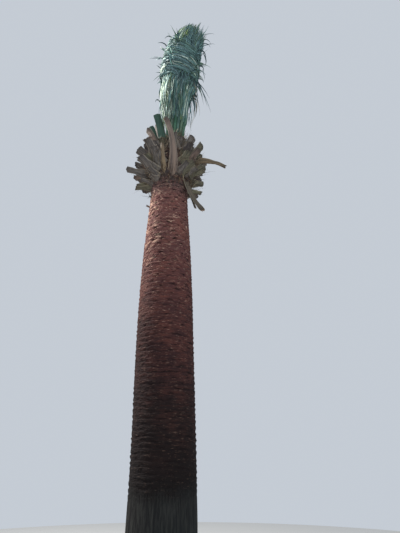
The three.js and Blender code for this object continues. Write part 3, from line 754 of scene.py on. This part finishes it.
def heart_surface(turn, share):
    height = mix(BUNDLE_FOOT, HEART_TOP, share)
    angle = TURN * turn
    radius = along(BUNDLE_RADIUS, height) - mix(0.04, 0.062, ramp(height, 5.39, 5.54))
    flutes = 0.004 * np.cos(18 * angle) + 0.003 * np.cos(41 * angle + 6 * height)
    dome = np.sqrt(np.clip(1 - ramp(height, 6.2, HEART_TOP) ** 2, 0.02, 1))
    return off_axis(height, angle, (radius + flutes) * dome)[0]


heart = shown("heart_column", rolled(HEART_COLUMNS, HEART_ROWS, heart_surface))
# Its dark green is painted shade for the gaps between the leaflets.
heart_painted_shade = mottled(
    "heart_painted_shade", (0.7,), (70, 70, 5), (0.35, 0.65), (40, 56, 52), (61, 82, 71),
    relief=(0.6, 0.004), detail=3.0)
heart.data.materials.append(heart_painted_shade.material)
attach(heart, "root")
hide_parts("heart_fronds")


# Ribs of the fronds: sixteen outer petioles stand side by side round the heart, with sixteen more
# behind their gaps. Every fourth outer one bends over and winds up round the bundle to the left.
FROND_COUNT = 16
WOUND_EVERY = 4
RIB_PITCH = TURN * UNROLLED_RADIUS / FROND_COUNT
RIB_STEPS = 26
RIB_HALF = (0.034, 0.012)
WOUND_RIB_STEPS = 70
WOUND_SLOPE = 13.5 * DEGREE
WOUND_BEND_START = 5.675
WOUND_BEND_RADIUS = 0.09
WOUND_TOP = 6.17
WOUND_STEP = 0.011
TUCK_START = 5.54
TUCK_END = 5.67
RIB_ROWS = ((0, -0.017, WOUND_BEND_START + 0.02), (0.5, -0.036, 5.85))


def turned_lines(line, outward, roll=0.0):
    """Side and outer directions at each station of each line, rolled about the line."""
    ahead = unit(np.gradient(line, axis=1))
    side = unit(np.cross(outward, ahead))
    out = np.cross(ahead, side)
    roll = np.reshape(roll, (-1, 1, 1))
    return side * np.cos(roll) + out * np.sin(roll), out * np.cos(roll) - side * np.sin(roll)


def wound_path(k):
    """Unrolled path of a long frond: round, height and heading, up, over a bend and round."""
    around, height, heading = [k * RIB_PITCH], [5.3], [np.pi / 2]
    while height[-1] < WOUND_BEND_START:
        around.append(around[0])
        height.append(height[-1] + 0.0125)
        heading.append(np.pi / 2)
    while height[-1] < WOUND_TOP + 0.06:
        heading.append(min(heading[-1] + WOUND_STEP / WOUND_BEND_RADIUS, np.pi - WOUND_SLOPE))
        around.append(around[-1] + np.cos(heading[-1]) * WOUND_STEP)
        height.append(height[-1] + np.sin(heading[-1]) * WOUND_STEP)
    far = np.append(0, np.cumsum(np.hypot(np.diff(around), np.diff(height))))
    return far, around, height, heading


def rod_section(points, flat):
    """Section of a rib: round above and flatter below."""
    angles = np.linspace(0, TURN, points, endpoint=False).tolist()
    round_points = [(math.cos(angle), math.sin(angle)) for angle in angles]
    return [(x, y if y > 0 else y * flat) for x, y in round_points]


rib_points, rib_faces = strand(rod_section(8, 0.6), RIB_STEPS)
rib_parts = []
for offset, depth, top in RIB_ROWS:
    number = (np.arange(FROND_COUNT) + offset)[:, None]
    height = np.linspace(BUNDLE_FOOT, top, RIB_STEPS) + 0 * number
    around = number * RIB_PITCH + 0.006 * np.sin(height * 7 + number * 2.4)
    depths = depth - 0.024 * ramp(height, TUCK_START, TUCK_END) + 0.003 * np.sin(number * 3.1)
    line, outward = on_bundle(around, height, depths)
    half = mix(*RIB_HALF, ramp(height, BUNDLE_FOOT, 5.75))
    half = half * along(BUNDLE_RADIUS, height) / UNROLLED_RADIUS * 0.98
    thick = mix(0.015, 0.009, ramp(height, 4.9, 5.6))
    copies = laid(rib_points, line, *turned_lines(line, outward), half, thick)
    rib_parts.append((rib_faces, copies, (number * 7 % 3).astype(int)))
wound_points, wound_faces = strand(rod_section(6, 0.5), WOUND_RIB_STEPS, pointed=True)
taper = np.linspace(1, 0.45, WOUND_RIB_STEPS)[None]
for k in range(0, FROND_COUNT, WOUND_EVERY):
    far, path_around, path_height, _ = wound_path(k)
    places = np.linspace(0, far[-1] - 0.12, WOUND_RIB_STEPS)[None]
    height = np.interp(places, far, path_height)
    depth = mix(-0.017, -0.006, ramp(height, TUCK_START, WOUND_BEND_START))
    line, outward = on_bundle(np.interp(places, far, path_around), height, depth)
    copies = laid(wound_points, line, *turned_lines(line, outward), 0.012 * taper, 0.008 * taper)
    rib_parts.append((wound_faces, copies, [2]))

rib_finishes = [
    petiole_finish("rib_green", (74, 112, 90), (54, 82, 70)),
    petiole_finish("rib_blue_green", (84, 112, 100), (62, 86, 80)),
    petiole_finish("rib_pale", (102, 124, 104), (72, 96, 82)),
]
ribs = joined("frond_ribs", rib_parts, rib_finishes)
ribs.data.shade_smooth()
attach(ribs, "root")
frond_nodes = [f"frond_{k + 1:02d}" for k in range(FROND_COUNT)]
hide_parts(*frond_nodes)


# Upright leaflets: stiff waxy blades folded along their length, pressed up against the bundle.
# They cover its lower half and run up under the winding. Some are bent over and hang down, most
# of them at the left.
LEAFLET_SECTION = ((-1, 0.5), (0, -0.5), (1, 0.5), (0, 0.1))
LEAFLET_STEPS = 5
LEAFLET_SHOULDER = 0.35
UPRIGHT_COUNT = 3000
UPRIGHT_FEET = (5.15, 5.64)
UPRIGHT_LENGTH = (0.24, 0.46)
UPRIGHT_HALF = (0.009, 0.017)
HUNG_COUNT = 560
HUNG_FEET = (5.3, 5.72)
HUNG_LENGTH = (0.1, 0.4)
HUNG_HALF = (0.005, 0.011)
WAX = np.array([26, 24, 22])
# The pale tone is partly painted sunlight, dealt to the leaflets hung at the left and to the knot, and
# partly pale blades dealt at random.
LEAF_COLOURS = {
    "leaf_blue": (97, 132, 134),
    "leaf_blue_green": (93, 129, 122),
    "leaf_green": (92, 121, 100),
    "leaf_slate": (83, 107, 110),
    "leaf_dark": (50, 73, 76),
    "leaf_yellow_green": (120, 142, 85),
    "leaf_pale_and_sunlit": (178, 194, 180),
    "leaf_straw": (156, 142, 107),
}


def leaf_finish(name, colour):
    """A leaflet's plain colour, with the faint cloud of wax that dulls it."""
    finish = Finish(name, 0.58, 0.4)
    wax = finish.spread(finish.grain(finish.place(), (30, 30, 14)), 0.4, 0.7)
    finish.wear(finish.blend(wax * 0.6, paint(*colour), paint(*(WAX + colour))))
    return finish


leaf_finishes = [leaf_finish(name, colour) for name, colour in LEAF_COLOURS.items()]


def blade_taper(stations):
    """Share of a leaflet's full width at each station: narrow foot, widest low down, pointed."""
    share = np.linspace(0, 1, stations)
    low = mix(0.55, 1, share / LEAFLET_SHOULDER)
    return np.where(share < LEAFLET_SHOULDER, low, (1 - share) / (1 - LEAFLET_SHOULDER)) ** 0.8


def leaflets(line, outward, roll, half, thickness, dye):
    """Leaflets laid along lines, as a part for joined(). Half is their half width at its widest."""
    points, faces = strand(LEAFLET_SECTION, line.shape[1], pointed=True)
    half = half * blade_taper(line.shape[1])
    return faces, laid(points, line, *turned_lines(line, outward, roll), half, half * thickness), dye


def deal(draws, size, shares):
    """Numbers of leaf finishes, in given shares."""
    edges = np.cumsum(shares) / np.sum(shares)
    return np.minimum(np.searchsorted(edges, draws.random(size)), len(shares) - 1)


draws = np.random.default_rng(41)
size = (UPRIGHT_COUNT, 1)
share = np.linspace(0, 1, LEAFLET_STEPS)
root_around = draws.integers(0, FROND_COUNT * 2, size) / 2 * RIB_PITCH
root_height = mix(*UPRIGHT_FEET, draws.random(size) ** 0.9)
side_sign = np.where(draws.random(size) < 0.5, -1, 1)
length = draws.uniform(*UPRIGHT_LENGTH, size)
swing = side_sign * draws.uniform(0.006, 0.05, size)
bow = draws.normal(0, 0.006, size)
around = root_around + swing * share ** 0.8 + bow * np.sin(np.pi * share)
height = root_height + length * share
lift = draws.normal(0, 0.006, size)
proud = (draws.random(size) < 0.06) * draws.random(size) * 0.03
depth = -0.016 + lift + proud * share ** 2 + 0.008 * share
depth = np.minimum(depth, mix(0.02, -0.03, ramp(height, 5.62, 5.74)))
line, outward = on_bundle(around, height, depth)
column = rough(polar(root_around / UNROLLED_RADIUS, 1, root_height), (5, 5, 1.2))
upright_parts = [leaflets(
    line, outward, draws.normal(0, 0.75, size), draws.uniform(*UPRIGHT_HALF, size), 0.45,
    np.where(column + draws.normal(0, 0.16, size) > 0,
             deal(draws, size, (0.34, 0.26, 0.08, 0.02, 0.0, 0.04, 0.26)),
             deal(draws, size, (0.42, 0.26, 0.06, 0.08, 0.01, 0.01, 0.16))))]

size = (HUNG_COUNT, 1)
to_left = draws.random(size) < 0.66
angle = np.where(to_left, draws.normal(math.pi + 0.6, 0.34, size), draws.uniform(1.0, 5.3, size))
root_height = draws.uniform(*HUNG_FEET, size)
reach = along(BUNDLE_RADIUS, root_height) - np.where(to_left, 0.026, 0.004)
root, outward = off_axis(root_height, angle, reach)
length = np.minimum(draws.uniform(*HUNG_LENGTH, size), root_height - np.where(to_left, 5.06, 5.14))
drift = outward * draws.uniform(-0.015, 0.02, size)[..., None]
drift = drift + draws.normal(0, 0.02, (HUNG_COUNT, 1, 3))
share = np.linspace(0, 1, LEAFLET_STEPS)[:, None]
line = root + drift * share + 0.012 * outward * np.sin(np.pi * share) - UP * length[..., None] * share
# Leaflets hung at the left mostly take the pale tone, painted sunlight down the bundle's left side;
# those elsewhere take darker tones.
upright_parts.append(leaflets(
    line, outward, draws.normal(0, 0.9, size), draws.uniform(*HUNG_HALF, size), 0.45,
    np.where(to_left,
             deal(draws, size, (0.08, 0.12, 0.1, 0.02, 0.02, 0.14, 0.52)),
             deal(draws, size, (0.26, 0.24, 0.16, 0.2, 0.06, 0.01, 0.07)))))
upright = joined("upright_leaflets", upright_parts, leaf_finishes)
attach(upright, "root")
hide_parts(*[name for i, name in enumerate(frond_nodes) if i % WOUND_EVERY])


# Wound leaflets: the long fronds are bent over and wrapped round the bundle to hold it, and their
# leaflets lie along the winding in level bands, with dark gaps and a hanging fringe under them.
WOUND_COUNT = 880
WOUND_LEAF_STEPS = 7
WOUND_LENGTH = (0.2, 0.34)
WOUND_HALF = (0.006, 0.0105)
WOUND_HIGHEST = 6.22
BAND_HALF = 0.036
FRINGE_COUNT = 420
FRINGE_LENGTH = (0.05, 0.16)
FRINGE_HALF = (0.006, 0.011)
wound_parts = []
size = (WOUND_COUNT, 1)
share = np.linspace(0, 1, WOUND_LEAF_STEPS)
for k in range(0, FROND_COUNT, WOUND_EVERY):
    draws = np.random.default_rng(60 + k)
    far, path_around, path_height, path_heading = wound_path(k)
    places = draws.uniform(0.2, far[-1] - 0.2, size) + draws.uniform(*WOUND_LENGTH, size) * share
    side_sign = np.where(draws.random(size) < 0.5, -1, 1)
    reach = BAND_HALF * draws.uniform(0.25, 1.08, size) * side_sign
    offset = reach * share ** 0.6 + draws.normal(0, 0.003, size) * np.sin(3 * share)
    heading = np.interp(places, far, path_heading)
    around = np.interp(places, far, path_around) - np.sin(heading) * offset
    height = np.interp(places, far, path_height) + np.cos(heading) * offset
    lifted = (draws.random(size) < 0.07) * draws.random(size) * 0.03
    depth = draws.normal(0, 0.004, size) + 0.006 * share + lifted * share ** 2
    depth = depth - 0.006 - 0.007 * np.cos(around / UNROLLED_RADIUS)
    line, outward = on_bundle(around, np.minimum(height, WOUND_HIGHEST), depth)
    wound_parts.append(leaflets(
        line, outward, draws.normal(0, 0.6, size), draws.uniform(*WOUND_HALF, size), 0.5,
        deal(draws, size, (0.28, 0.22, 0.1, 0.26, 0.12, 0.0, 0.02))))
wound = joined("wound_leaflets", wound_parts, leaf_finishes)
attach(wound, "root")
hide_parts(*frond_nodes[::WOUND_EVERY])

draws = np.random.default_rng(77)
size = (FRINGE_COUNT, 1)
share = np.linspace(0, 1, LEAFLET_STEPS)
angle = TURN * draws.random(size)
lowest = 5.78 - 0.1 * np.cos(angle) + draws.normal(0, 0.025, size)
height = lowest - draws.uniform(*FRINGE_LENGTH, size) * share
around = angle * UNROLLED_RADIUS + draws.normal(0, 0.02, size) * share
depth = -0.006 + draws.uniform(0.0, 0.022, size) * np.sin(np.pi * 0.8 * share)
line, outward = on_bundle(around, height, depth)
fringe = joined("fringe_leaflets", [leaflets(
    line, outward, draws.normal(0, 0.6, size), draws.uniform(*FRINGE_HALF, size), 0.5,
    deal(draws, size, (0.1, 0.2, 0.14, 0.26, 0.3)))], leaf_finishes)
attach(fringe, "root")
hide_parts(*frond_nodes[::WOUND_EVERY])


# Tuft: the youngest leaflets, blue-green and yellow-green, whose tips stand out of the top of the
# bundle and lean to the right. The top is lower at the left, where the winding ends.
COLLAR_COUNT = 1500
COLLAR_FEET = (6.05, 6.24)
COLLAR_LENGTH = (0.1, 0.22)
COLLAR_HALF = (0.007, 0.012)
TUFT_COUNT = 420
TUFT_FEET = (6.06, 6.22)
TUFT_HALF = (0.0055, 0.01)
TUFT_HIGHEST = 6.43


def tuft_top(points):
    """Height that leaf tips reach over a place: a low shoulder at the left, highest at the right."""
    x, y = points[..., 0], points[..., 1]
    return (6.15 + 0.15 * ramp(x, -0.03, 0.06) + 0.36 * np.clip(x - 0.05, 0, 0.24)
            + np.clip(0.3 * (y + 0.35), -0.05, 0.07))


draws = np.random.default_rng(83)
size = (COLLAR_COUNT, 1)
share = np.linspace(0, 1, LEAFLET_STEPS)
angle = TURN * draws.random(size)
height = draws.uniform(*COLLAR_FEET, size) + draws.uniform(*COLLAR_LENGTH, size) * share
around = angle * UNROLLED_RADIUS + draws.normal(0, 0.02, size) * share
inner = mix(-0.012, -0.1, draws.random(size) ** 1.5)
depth = inner + draws.normal(0.012, 0.016, size) * share ** 2
line, outward = on_bundle(around, np.minimum(height, TUFT_HIGHEST), depth)
line = line + np.array([0.02, -0.05, 0]) * share[:, None] ** 2
over = np.clip(line[..., 2] - tuft_top(line) - draws.normal(0, 0.015, size), 0, 1)
line[..., 2] -= 0.9 * over
# The collar's right side mostly takes the slate and dark tones, painted shade on the side away from
# the light; the rest takes the yellow-green and the pale tone, which is partly painted sunlight.
tuft_parts = [leaflets(
    line, outward, draws.normal(0, 0.8, size), draws.uniform(*COLLAR_HALF, size), 0.45,
    np.where(np.cos(angle) > draws.normal(0.25, 0.35, size),
             deal(draws, size, (0.2, 0.2, 0.12, 0.28, 0.2)),
             deal(draws, size, (0.14, 0.18, 0.2, 0.06, 0.04, 0.24, 0.14))))]

size = (TUFT_COUNT, 1)
number = np.arange(TUFT_COUNT)[:, None]
angle = GOLDEN_ANGLE * number
out_share = np.sqrt((number + 0.5) / TUFT_COUNT)
root_height = draws.uniform(*TUFT_FEET, size)
root, _ = off_axis(root_height, angle, (along(BUNDLE_RADIUS, root_height) - 0.045) * out_share)
sideways = 0.42 * out_share * np.where(np.cos(angle) > 0, 0.3, 1.0) * np.cos(angle)
direction = unit(np.stack([
    0.38 + sideways + draws.normal(0, 0.07, size),
    -0.32 + 0.42 * out_share * np.sin(angle) + draws.normal(0, 0.1, size),
    np.ones(size),
], -1))
drop = mix(0.0, 0.16, draws.random(size) ** 0.6)
room = tuft_top(root + direction * 0.15) - drop - root[..., 2]
length = np.clip(room / direction[..., 2], 0.05, 0.4)
bend = draws.normal(0, 0.022, (TUFT_COUNT, 1, 3)) * np.array([1, 1, 0.1])
share = np.linspace(0, 1, LEAFLET_STEPS)[:, None]
line = root + direction * length[..., None] * share + bend * share ** 2
tuft_parts.append(leaflets(
    line, np.array([0, -1.0, 0.2]), draws.uniform(-1.5, 1.5, size), draws.uniform(*TUFT_HALF, size),
    0.5, deal(draws, size, (0.14, 0.2, 0.2, 0.04, 0.03, 0.26, 0.13))))
tuft = joined("tuft_leaflets", tuft_parts, leaf_finishes)
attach(tuft, "root")
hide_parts("heart_fronds")


# Loose leaflets: some spring out of the winding where it was pulled round, others slipped out of
# it and hang down beside the bundle, most of them at the right, dry and twisted at their ends.
LOOSE_COUNT = 26
LOOSE_STEPS = 9
LOOSE_LOWEST = 5.76
LOOSE_HIGHEST = 6.13
LOOSE_STRANDS = 16
BEND_STEP = 0.044
LOOSE_GAP = 0.074
LOOSE_ARCS = (
    ((-0.001, -0.30, 6.20), (-0.078, -0.30, 6.35), (-0.145, -0.30, 6.303), 0.008),
    ((-0.090, -0.25, 6.15), (-0.154, -0.25, 6.285), (-0.243, -0.25, 6.293), 0.008),
    ((-0.100, -0.25, 6.08), (-0.156, -0.25, 6.163), (-0.201, -0.25, 6.185), 0.006),
    ((-0.165, -0.17, 5.90), (-0.211, -0.17, 5.962), (-0.250, -0.17, 5.998), 0.006),
    ((-0.160, -0.05, 5.45), (-0.222, -0.05, 5.535), (-0.248, -0.05, 5.485), 0.007),
    ((0.300, -0.35, 6.28), (0.411, -0.35, 6.330), (0.484, -0.35, 6.319), 0.003),
    ((0.290, -0.30, 6.25), (0.386, -0.30, 6.290), (0.435, -0.30, 6.186), 0.005),
    ((0.280, -0.30, 6.20), (0.383, -0.30, 6.215), (0.428, -0.30, 6.137), 0.004),
    ((0.270, -0.30, 6.12), (0.411, -0.30, 6.205), (0.493, -0.30, 6.201), 0.003),
    ((0.265, -0.25, 6.15), (0.345, -0.25, 6.133), (0.374, -0.25, 6.005), 0.009),
    ((0.340, -0.25, 6.11), (0.374, -0.25, 5.977), (0.356, -0.25, 5.874), 0.006),
    ((0.245, -0.20, 5.92), (0.324, -0.20, 5.935), (0.344, -0.20, 5.828), 0.009),
    ((0.330, -0.20, 5.88), (0.351, -0.20, 5.772), (0.359, -0.20, 5.692), 0.003),
    ((0.235, -0.15, 5.76), (0.312, -0.15, 5.776), (0.348, -0.15, 5.701), 0.006),
    ((0.225, -0.13, 5.66), (0.295, -0.13, 5.655), (0.311, -0.13, 5.538), 0.005),
    ((0.165, -0.09, 5.58), (0.239, -0.09, 5.584), (0.276, -0.09, 5.426), 0.009),
    ((0.160, -0.09, 5.50), (0.239, -0.09, 5.512), (0.267, -0.09, 5.431), 0.007),
    ((0.160, -0.11, 5.60), (0.235, -0.11, 5.550), (0.246, -0.11, 5.470), 0.007),
    ((0.160, -0.07, 5.54), (0.181, -0.07, 5.395), (0.185, -0.07, 5.274), 0.007),
    ((0.225, -0.07, 5.52), (0.237, -0.07, 5.385), (0.221, -0.07, 5.298), 0.007),
    ((0.245, -0.07, 5.50), (0.256, -0.07, 5.337), (0.238, -0.07, 5.218), 0.005),
    ((0.165, -0.07, 5.30), (0.183, -0.07, 5.129), (0.183, -0.07, 5.010), 0.004),
)
# Knot arcs: leaflets bowed where the long fronds bend round at the front left. They take the pale tone
# as painted sunlight.
KNOT_ARCS = (
    ((-0.175, -0.200, 5.825), (-0.143, -0.295, 5.805), (-0.080, -0.345, 5.815), 0.012),
    ((-0.172, -0.210, 5.780), (-0.140, -0.305, 5.790), (-0.088, -0.345, 5.765), 0.011),
    ((-0.150, -0.280, 5.840), (-0.130, -0.315, 5.790), (-0.125, -0.310, 5.740), 0.009),
    ((-0.120, -0.255, 5.540), (-0.128, -0.235, 5.400), (-0.112, -0.195, 5.260), 0.010),
    ((-0.150, -0.220, 5.500), (-0.150, -0.195, 5.370), (-0.135, -0.160, 5.240), 0.008),
)
# Loose arcs take the dark tone; the knot arcs take the pale one as painted sunlight.
DARK_LEAF, SUNLIT_PALE_LEAF = 4, 6


def rib_stations(k):
    """Places on the rib of a long frond, beyond its bend, where loose leaflets are rooted."""
    around, height, heading = k * RIB_PITCH, WOUND_BEND_START, np.pi / 2
    while heading < np.pi - WOUND_SLOPE - 1e-6:
        heading = min(heading + BEND_STEP / WOUND_BEND_RADIUS, np.pi - WOUND_SLOPE)
        around += math.cos(heading) * BEND_STEP
        height += math.sin(heading) * BEND_STEP
    stations = []
    while height < WOUND_TOP:
        around += math.cos(heading) * LOOSE_GAP
        height += math.sin(heading) * LOOSE_GAP
        stations.append((around, height))
    return stations


strays = []
share = np.linspace(0, 1, LOOSE_STEPS)[:, None]
for number, (*points, half) in enumerate(LOOSE_ARCS + KNOT_ARCS):
    first, middle, last = np.array(points)
    peak = 2 * middle - (first + last) / 2
    line = first * (1 - share) ** 2 + 2 * peak * share * (1 - share) + last * share ** 2
    strays.append((line, half * 1.2, DARK_LEAF if number < len(LOOSE_ARCS) else SUNLIT_PALE_LEAF))

loose_draws = seeded_draws(29)
draws = np.random.default_rng(97)
long_fronds = [rib_stations(k) for k in range(0, FROND_COUNT, WOUND_EVERY)]
for i in range(LOOSE_COUNT):
    part = (i + 0.5) / LOOSE_COUNT
    wanted = mix(LOOSE_LOWEST, LOOSE_HIGHEST, part)
    around, height = min(long_fronds[i % len(long_fronds)], key=lambda place: abs(place[1] - wanted))
    root, _ = on_bundle(around, height, -0.008)
    angle = around / UNROLLED_RADIUS
    outward = polar(angle, 1, 0)
    droop = 0.4 * math.cos(angle)
    short = abs(math.sin(angle)) < 0.55 and i % 2 or math.cos(angle) > 0.2 and part > 0.6
    climb = (mix(-0.5, 0.9, part) - droop) * mix(1, 0.25, max(0, -math.sin(angle)))
    climb += mix(-0.2, 0.2, next(loose_draws))
    direction = unit(outward + beside(outward) * mix(-0.5, 0.5, next(loose_draws)) + UP * climb)
    length = mix(0.18, 0.33, next(loose_draws)) * (0.5 if short else 1)
    sag = mix(0.75, 0.2, part) * (1 + droop)
    for copy in range(3):
        ahead = unit(direction + draws.normal(0, 0.22, 3) * (copy > 0))
        far = length * (draws.uniform(0.5, 0.95) if copy else 1)
        line = root + ahead * far * share - UP * sag * far * share ** 2
        strays.append((line, 0.0055 if copy else 0.0085, int(draws.integers(0, 5))))
for _ in range(LOOSE_STRANDS):
    angle, height = draws.normal(-0.1, 0.5), draws.uniform(5.4, 5.75)
    root, outward = off_axis(height, angle, along(BUNDLE_RADIUS, height) - 0.02)
    far, length = draws.uniform(0.02, 0.06), draws.uniform(0.2, 0.48)
    sway = np.array([draws.normal(0, 0.03), draws.normal(0, 0.03), 0]) * share ** 2
    curl = np.array([0.012, 0.01, 0]) * np.sin(share * draws.uniform(3, 8) + draws.uniform(0, 6))
    rise = 0.05 * np.sin(np.minimum(1, 4 * share) * np.pi) - length * np.clip(share - 0.1, 0, 1) / 0.9
    line = root + outward * far * np.minimum(1, 2.2 * share) ** 0.7 + sway + curl * share + UP * rise
    strays.append((line, draws.uniform(0.003, 0.0065), int(draws.choice([3, 4, 3, 7, 0]))))
lines, halves, dyes = zip(*strays)
roll = draws.uniform(-1.2, 1.2, len(lines))
roll[:len(LOOSE_ARCS + KNOT_ARCS)] *= 0.3
loose = joined("loose_leaflets", [leaflets(
    np.array(lines), np.array([0.1, -0.6, -0.5]), roll, np.array(halves)[:, None], 0.45, dyes,
)], leaf_finishes)
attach(loose, "root")
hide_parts(*frond_nodes[::WOUND_EVERY])


# Sheath fibres: the brown matting that wrapped each leaf foot, frayed into threads between the
# leaf bases and round the foot of the bundle, with some pale wisps.
FIBRE_COUNT = 2600
FIBRE_STEPS = 5
FIBRE_SECTION = ((-1, 0.4), (0, -0.6), (1, 0.4))
FIBRE_FEET = (4.18, 4.9)
FIBRE_TRUNK_TOP = 4.78
FIBRE_LENGTH = (0.05, 0.2)
FIBRE_HALF = (0.0009, 0.0026)
FIBRE_COLOURS = {
    "fibre_brown": ((109, 86, 66), (69, 54, 44)),
    "fibre_grey": ((103, 96, 85), (65, 60, 55)),
    "fibre_pale": ((197, 182, 150), (158, 142, 114)),
}
draws = np.random.default_rng(103)
size = (FIBRE_COUNT, 1)
foot = draws.uniform(*FIBRE_FEET, size)
angle = TURN * draws.random(size)
radius = np.where(foot < FIBRE_TRUNK_TOP, along(TRUNK_DIAMETER, foot) / 2, 0.1)
root = polar(angle, radius + draws.uniform(-0.01, 0.05, size), foot)
root[..., 0] += along(AXIS_SHIFT, foot)
radial = polar(angle, 1, 0)
tilt = draws.normal(0.9, 0.45, size)[..., None]
direction = radial * np.cos(tilt) + UP * np.sin(tilt)
direction = unit(direction + beside(radial) * draws.normal(0, 0.5, size)[..., None])
length = mix(*FIBRE_LENGTH, draws.random(size) ** 1.6)
length *= np.where((foot > 4.6) & (np.cos(angle) < -0.2), 0.5, 1)
bend = draws.normal(0, 0.35, (FIBRE_COUNT, 1, 3)) - UP * 0.25
share = np.linspace(0, 1, FIBRE_STEPS)[:, None]
line = root + length[..., None] * (direction * share + bend * share ** 2 * 0.6)
half = mix(*FIBRE_HALF, draws.random(size) ** 2) * np.linspace(1, 0.4, FIBRE_STEPS)
fibre_points, fibre_faces = strand(FIBRE_SECTION, FIBRE_STEPS, pointed=True)
copies = laid(fibre_points, line, *turned_lines(line, np.array([0.1, -0.9, 0.4])), half, half)
fibre_finishes = [
    mottled(name, (0.9, 0.2), (50, 50, 50), (0.35, 0.65), *colours)
    for name, colours in FIBRE_COLOURS.items()
]
fibres = joined(
    "sheath_fibres", [(fibre_faces, copies, deal(draws, size, (0.5, 0.36, 0.14)))], fibre_finishes)
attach(fibres, "root")


# Floor, light and camera: a plain pale floor, a soft high key light from the left and a little
# behind, soft fill from the front, and the camera near the foot looking up the tree.
LENS_SHARE = 410 / 533
SENSOR = 36
CAMERA_PLACE = (0.30, -3.75, 1.55)
CAMERA_PITCH = 25
floor_bm = bmesh.new()
bmesh.ops.create_circle(floor_bm, cap_ends=True, segments=96, radius=9)
floor = shown("floor", floor_bm)
floor_pale = Finish("floor_pale", 0.9)
floor_pale.wear((0.5, 0.5, 0.49, 1))
floor.data.materials.append(floor_pale.material)

world = bpy.data.worlds.new("studio")
world.use_nodes = True
sky = world.node_tree.nodes["Background"].inputs
sky["Color"].default_value = (0.74, 0.8, 0.88, 1)
sky["Strength"].default_value = 0.75
bpy.context.scene.world = world


def soft_light(name, place, aim, size, power, colour):
    """A square area light at a place, turned to face another."""
    lamp = bpy.data.lights.new(name, "AREA")
    lamp.size = size
    lamp.energy = power
    lamp.color = colour
    light = bpy.data.objects.new(name, lamp)
    light.location = place
    light.rotation_euler = (Vector(aim) - Vector(place)).to_track_quat("-Z", "Y").to_euler()
    bpy.context.scene.collection.objects.link(light)


soft_light("key", place=(-5.5, 1.2, 8.5), aim=(0, 0, 4.2), size=2.0, power=1500, colour=(1, 0.96, 0.9))
soft_light("fill", place=(2.5, -7, 2.5), aim=(0, 0, 3.5), size=4.5, power=260, colour=(0.9, 0.95, 1))

camera_data = bpy.data.cameras.new("camera")
camera_data.sensor_width = SENSOR
camera_data.lens = LENS_SHARE * SENSOR
camera = bpy.data.objects.new("camera", camera_data)
camera.location = CAMERA_PLACE
camera.rotation_euler = (math.radians(90 + CAMERA_PITCH), 0, 0)
bpy.context.scene.collection.objects.link(camera)
bpy.context.scene.camera = camera
bpy.context.scene.view_settings.view_transform = "Standard"
